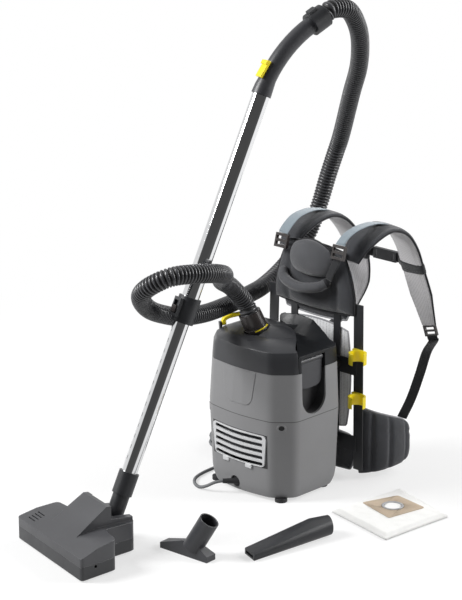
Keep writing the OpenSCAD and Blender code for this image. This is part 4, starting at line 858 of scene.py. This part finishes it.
# Grab handle: a padded roll with a sewn round end and a loop of webbing up to the right buckle
webbing("grab_web", [(57, 116, 431), (63, 115, 444), (71, 115, 460), (79, 115.5, 476), (83, 116, 486)],
        17, WEB_BLACK, (1, 0, 0))
grab_path = [p * MM for p in smooth([(-74, 120, 430), (-60, 107, 416), (-34, 99, 409), (-8, 97, 406),
                                     (18, 99, 409), (44, 107, 416), (56, 120, 428)], 10)]
grab_r = []
for i in range(len(grab_path)):
    w = i / (len(grab_path) - 1)
    r = 6.5 + 4.4 * min(1.0, min(w, 1 - w) * 9) ** 0.6
    r -= 1.3 * math.exp(-((w - 0.86) / 0.012) ** 2) + 0.8 * math.exp(-((w - 0.10) / 0.012) ** 2)
    grab_r.append((r + 0.35 * noise.noise(Vector((w * 18, 0, 0)))) * MM)
grab = tube("grab_roll", grab_path, grab_r, 24, CHARCOAL_LIGHT, (0, 0, 1))
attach(grab, "root")
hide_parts("grab_handle")

roll_end = [Vector((50.5, 113.2, 421.5)) * MM + mm((0.66, 0.62, 0.42)) * k for k in (0, 4, 7.5, 8.5)]
end_cap = tube("grab_roll_end", roll_end, [r * MM for r in (10.6, 10.9, 9.6, 7.0)], 24, PIPING_DARK,
               (0, 0, 1))
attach(end_cap, "root")

# Spare bag: two layers of fleece, sewn round the edge, with a card collar and its ring
CORNERS = [Vector((207, -34, 0)), Vector((379, -68, 0)), Vector((393, 108, 0)), Vector((230, 153, 0))]
HOLE = Vector((291, 57, 0))


def bag_spot(s, t):
    p = CORNERS[0] * (1 - s) * (1 - t) + CORNERS[1] * s * (1 - t) + CORNERS[2] * s * t
    p += CORNERS[3] * (1 - s) * t
    pull = 2.2 * (math.sin(math.pi * s) + math.sin(math.pi * t))
    return p + (HOLE - p).normalized() * (0.5 * pull if min(s, t, 1 - s, 1 - t) < 0.5 else 0)


def bag_sheet(name, low, high, steps=72):
    top, under = [], []
    for j in range(steps + 1):
        for i in range(steps + 1):
            s, t = i / steps, j / steps
            p = bag_spot(s, t)
            edge = min(s, t, 1 - s, 1 - t)
            k = min(1.0, edge / 0.055)
            swell = k * k * (3 - 2 * k)
            seam = math.exp(-((edge - 0.035) / 0.008) ** 2)
            n = noise.noise(p * 0.022) + 0.45 * noise.noise(p * 0.06)
            fold = 1.1 * math.sin(0.09 * (p.x * 0.8 + p.y * 0.6) + 2 * n)
            z = low + 1.3 + (high - low - 1.3) * (0.35 + 0.65 * swell)
            z += swell * (0.9 * n + 0.35 * fold) - 0.8 * seam
            z += (1 - swell) * 1.0 * abs(noise.noise(Vector((s * 9, t * 9, low))))
            hole = (p - HOLE).length
            if hole < 62:
                z = high + 0.2 if hole < 52 else z + (high + 0.2 - z) * (62 - hole) / 10
            top.append(Vector((p.x, p.y, z)) * MM)
            under.append(Vector((p.x, p.y, low + (1 - swell) * 0.25)) * MM)
    return recalc(obj_from(name, top + under, slab_faces(steps, steps)[0], [FLEECE]))


def hole_ring(r, z, n, start=0.0):
    """A circle about the bag's hole."""
    return [Vector((HOLE.x + r * math.cos(a), HOLE.y + r * math.sin(a), z)) * MM for a in circle(n, start)]


bag = bag_sheet("spare_bag_fleece", 0.2, 10.6)
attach(bag, "root")
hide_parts("spare_bag")
CARD_CORNERS = [(234, 28), (326, 4), (343, 96), (262, 108)]


def card_outline(grow, z, n=10):
    """The card's outline with rounded corners, grown or shrunk about its middle."""
    pts = []
    c = Vector((291, 59))
    for k in range(4):
        a, b, d = (Vector(CARD_CORNERS[(k + q) % 4]) for q in (3, 0, 1))
        r = 6.0
        u, w = b + (a - b).normalized() * r, b + (d - b).normalized() * r
        for i in range(n + 1):
            t = i / n
            q = u * (1 - t) ** 2 + b * 2 * t * (1 - t) + w * t * t
            q = c + (q - c) * (1 + grow / (q - c).length)
            pts.append(Vector((q.x, q.y, z)) * MM)
    return pts


card_n = len(card_outline(0, 0))
card_rings = [card_outline(0, 11.2), card_outline(0, 12.1), card_outline(-0.8, 12.3)]
card_rings += [hole_ring(20.5, z, card_n, math.radians(225)) for z in (12.3, 11.2)]
card = lofted("bag_card", card_rings, [CARD], caps=False)
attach(card, "root")
COLLAR = ((18.2, 11.4), (18.2, 13.0), (19.0, 13.8), (21.5, 13.8), (22.6, 13.2), (22.6, 12.2), (20.4, 12.2),
          (20.4, 11.2), (18.2, 11.4))
collar = lofted("bag_collar_ring", [hole_ring(r, z, 64) for r, z in COLLAR], [RING_GREY], caps=False)
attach(collar, "root")
MEMBRANE = ((0.5, 10.9), (7, 11.0), (13, 11.2), (18.0, 11.9), (18.1, 11.3), (0.5, 10.4))
membrane = lofted("bag_membrane", [hole_ring(r, z, 48) for r, z in MEMBRANE], [FLEECE])
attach(membrane, "root")

# Blank front shield, set on the upper housing's front
skin = surface("upper_housing")


def on_front(x, z, proud):
    """A point a little proud of the housing's front."""
    hit = skin.ray_cast(Vector((x, -300, z)) * MM, Vector((0, 1, 0)))
    return (hit[0] if hit[0] is not None else Vector((x, -97, z)) * MM) + Vector((0, -proud * MM, 0))


def shield(name, half_w, z0, z1, proud, mat):
    """A thin plate that follows the housing's front, narrower at its foot."""
    n_u, n_v = 28, 16
    rows_top, rows_low = [], []
    for j in range(n_v + 1):
        v = j / n_v
        for i in range(n_u + 1):
            u = -1 + 2 * i / n_u
            z = z0 + (z1 - z0) * v + 16 * u ** 6 * (1 - v)
            w = half_w * (0.84 + 0.16 * v)
            rows_top.append(on_front(u * w, z, proud))
            rows_low.append(on_front(u * w, z, 0.02))
    o = recalc(obj_from(name, rows_top + rows_low, slab_faces(n_u, n_v)[0], [mat]))
    split = o.modifiers.new("edges", "EDGE_SPLIT")
    split.split_angle = EDGE_ANGLE
    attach(o, "root")


shield("front_shield", 46, 202, 274, 0.9, HOUSING)

# Screw recesses under the seam on the two front chamfers, and the grille's two spring tabs
RECESS = ((10.4, -0.6), (10.4, 0.5), (9.7, 1.0), (8.6, 1.1), (7.2, 0.7), (6.2, 0.15), (6.0, 0.12), (2.0, 0.1))
TAB = ((0.9, 1.0), (1.0, -1.6), (0.96, -2.6), (0.8, -3.2), (0.4, -3.3))
low_skin = surface("lower_housing")
for s, tag in ((1, "right"), (-1, "left")):
    out = Vector((s, -1, 0)).normalized()
    hit = low_skin.ray_cast(Vector((s * 105, -76, 165)) * MM + out * 0.06, -out)
    if hit[0] is not None:
        out = hit[1] if hit[1].dot(out) > 0 else -hit[1]
        along = Vector((0, 0, 1)).cross(out).normalized()
        up = out.cross(along)
        rows = []
        for r, proud in RECESS:
            oval = [along * (r * math.cos(a)) + up * (0.86 * r * math.sin(a)) for a in circle(40)]
            rows.append([hit[0] + (out * proud + q) * MM for q in oval])
        # The inner rings and the floor take the near-black colour: painted shade in the recess.
        rim = lofted("screw_recess_" + tag, rows, [HOUSING, PAINTED_SHADE_BLACK], lambda j, i: 1 if j >= 5 else 0)
        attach(rim, "root")

for x, tag in ((-34, "a"), (30, "b")):
    hit = low_skin.ray_cast(Vector((x, -300, 66)) * MM, Vector((0, 1, 0)))
    if hit[0] is not None:
        front = hit[0].y / MM
        rows = []
        for k, y in TAB:
            rows.append([Vector((x + 9.0 * k * rounded(math.cos(a), 0.35), front + y,
                                 71.5 + 5.2 * k * rounded(math.sin(a), 0.35))) * MM
                         for a in circle(32, math.pi / 32)])
        tab = lofted("grille_tab_" + tag, rows, [SILVER])
        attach(tab, "root")

# Thin yellow arc on the inlet cuff's foot
arc = []
for i in range(25):
    a = math.radians(78 + 80 * i / 24)
    spot = (25.9 * math.cos(a), 25.9 * math.sin(a), CUFF_AT + 4.2)
    arc.append((INLET + turned(spot, INLET_LEAN, INLET_TURN)) * MM)
cuff_arc = ribbon("cuff_arc", arc, 2.8 * MM, 1.2 * MM, YELLOW, tuple(INLET_AXIS))
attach(cuff_arc, "inlet_swivel")


# ---------------------------------------------------------------- floor and light

def unlit_side(m, rays, place, toward, lo, hi, f0, f1):
    """1, less a dark area on one side that only reflections show."""
    dot = add(m, "ShaderNodeVectorMath", operation="DOT_PRODUCT")
    dot.inputs[1].default_value = toward
    link(m, place, dot.inputs[0])
    dark = map_range(m, dot.outputs["Value"], lo, hi, f0, f1, interpolation_type="SMOOTHSTEP")
    return combine(m, "SUBTRACT", 1.0, combine(m, "MULTIPLY", dark, rays["Is Glossy Ray"]))


def flat_floor():
    """A pale floor that reads as white, keeps the soft shadow, and bounces less light than it shows."""
    m = bpy.data.materials.new("studio_floor")
    m.use_nodes = True
    m.node_tree.nodes.clear()
    out = add(m, "ShaderNodeOutputMaterial")
    lit = add(m, "ShaderNodeBsdfDiffuse")
    glow = add(m, "ShaderNodeEmission")
    rays = add(m, "ShaderNodeLightPath").outputs
    place = add(m, "ShaderNodeTexCoord").outputs["Object"]
    tone = add(m, "ShaderNodeMix", data_type="RGBA")
    tone.inputs["A"].default_value = (0.5, 0.5, 0.5, 1)
    tone.inputs["B"].default_value = (0.97, 0.97, 0.97, 1)
    link(m, rays["Is Camera Ray"], tone.inputs["Factor"])
    link(m, tone.outputs["Result"], lit.inputs["Color"])
    level = unlit_side(m, rays, place, (0.72, -0.69, 0.0), 0.0, 0.92, 0.8, 1.2)
    link(m, level, glow.inputs["Strength"])
    reach = add(m, "ShaderNodeVectorMath", operation="LENGTH")
    link(m, place, reach.inputs[0])
    fade = map_range(m, reach.outputs["Value"], 0.6, 1.0, 0.5, 1.5, interpolation_type="SMOOTHSTEP")
    seen = combine(m, "MAXIMUM", rays["Is Camera Ray"], rays["Is Glossy Ray"])
    mix = add(m, "ShaderNodeMixShader")
    link(m, combine(m, "MULTIPLY", seen, fade), mix.inputs["Fac"])
    link(m, lit.outputs["BSDF"], mix.inputs[1])
    link(m, glow.outputs["Emission"], mix.inputs[2])
    link(m, mix.outputs["Shader"], out.inputs["Surface"])
    o = obj_from("floor", [(-9, -9, 0), (9, -9, 0), (9, 9, 0), (-9, 9, 0)], [(0, 1, 2, 3)], [m])
    o.location.z = -0.0002


def studio_world():
    """White where it is seen, dim as a light, and dark on one side in reflections."""
    w = bpy.data.worlds.new("studio")
    SCENE.world = w
    w.use_nodes = True
    w.node_tree.nodes.clear()
    out = add(w, "ShaderNodeOutputWorld")
    sky = add(w, "ShaderNodeBackground")
    sky.inputs["Color"].default_value = (1, 1, 1, 1)
    rays = add(w, "ShaderNodeLightPath").outputs
    place = add(w, "ShaderNodeTexCoord").outputs["Generated"]
    seen = combine(w, "MAXIMUM", rays["Is Camera Ray"], rays["Is Glossy Ray"])
    seen = combine(w, "MAXIMUM", seen, rays["Is Transmission Ray"])
    light = map_range(w, seen, 0.23, 1.0)
    flag = unlit_side(w, rays, place, (0.77, -0.59, 0.245), 0.2, 0.93, 0.22, 0.42)
    link(w, combine(w, "MULTIPLY", light, flag), sky.inputs["Strength"])
    link(w, sky.outputs["Background"], out.inputs["Surface"])


flat_floor()
studio_world()


def area(name, place, target, size, watts):
    """A soft lamp aimed at a place."""
    d = bpy.data.lights.new(name, "AREA")
    d.shape = "RECTANGLE"
    d.size, d.size_y = size
    d.energy = watts
    o = bpy.data.objects.new(name, d)
    SCENE.collection.objects.link(o)
    o.location = place
    o.rotation_euler = (Vector(target) - Vector(place)).to_track_quat("-Z", "Y").to_euler()


area("key", (-2.1, -2.6, 2.7), (0, -0.1, 0.3), (1.5, 1.7), 185)
area("fill", (2.5, 2.1, 1.9), (0, 0, 0.35), (1.4, 1.8), 92)
area("rim", (0.6, 3.0, 2.6), (0, 0.1, 0.4), (2.0, 1.2), 34)
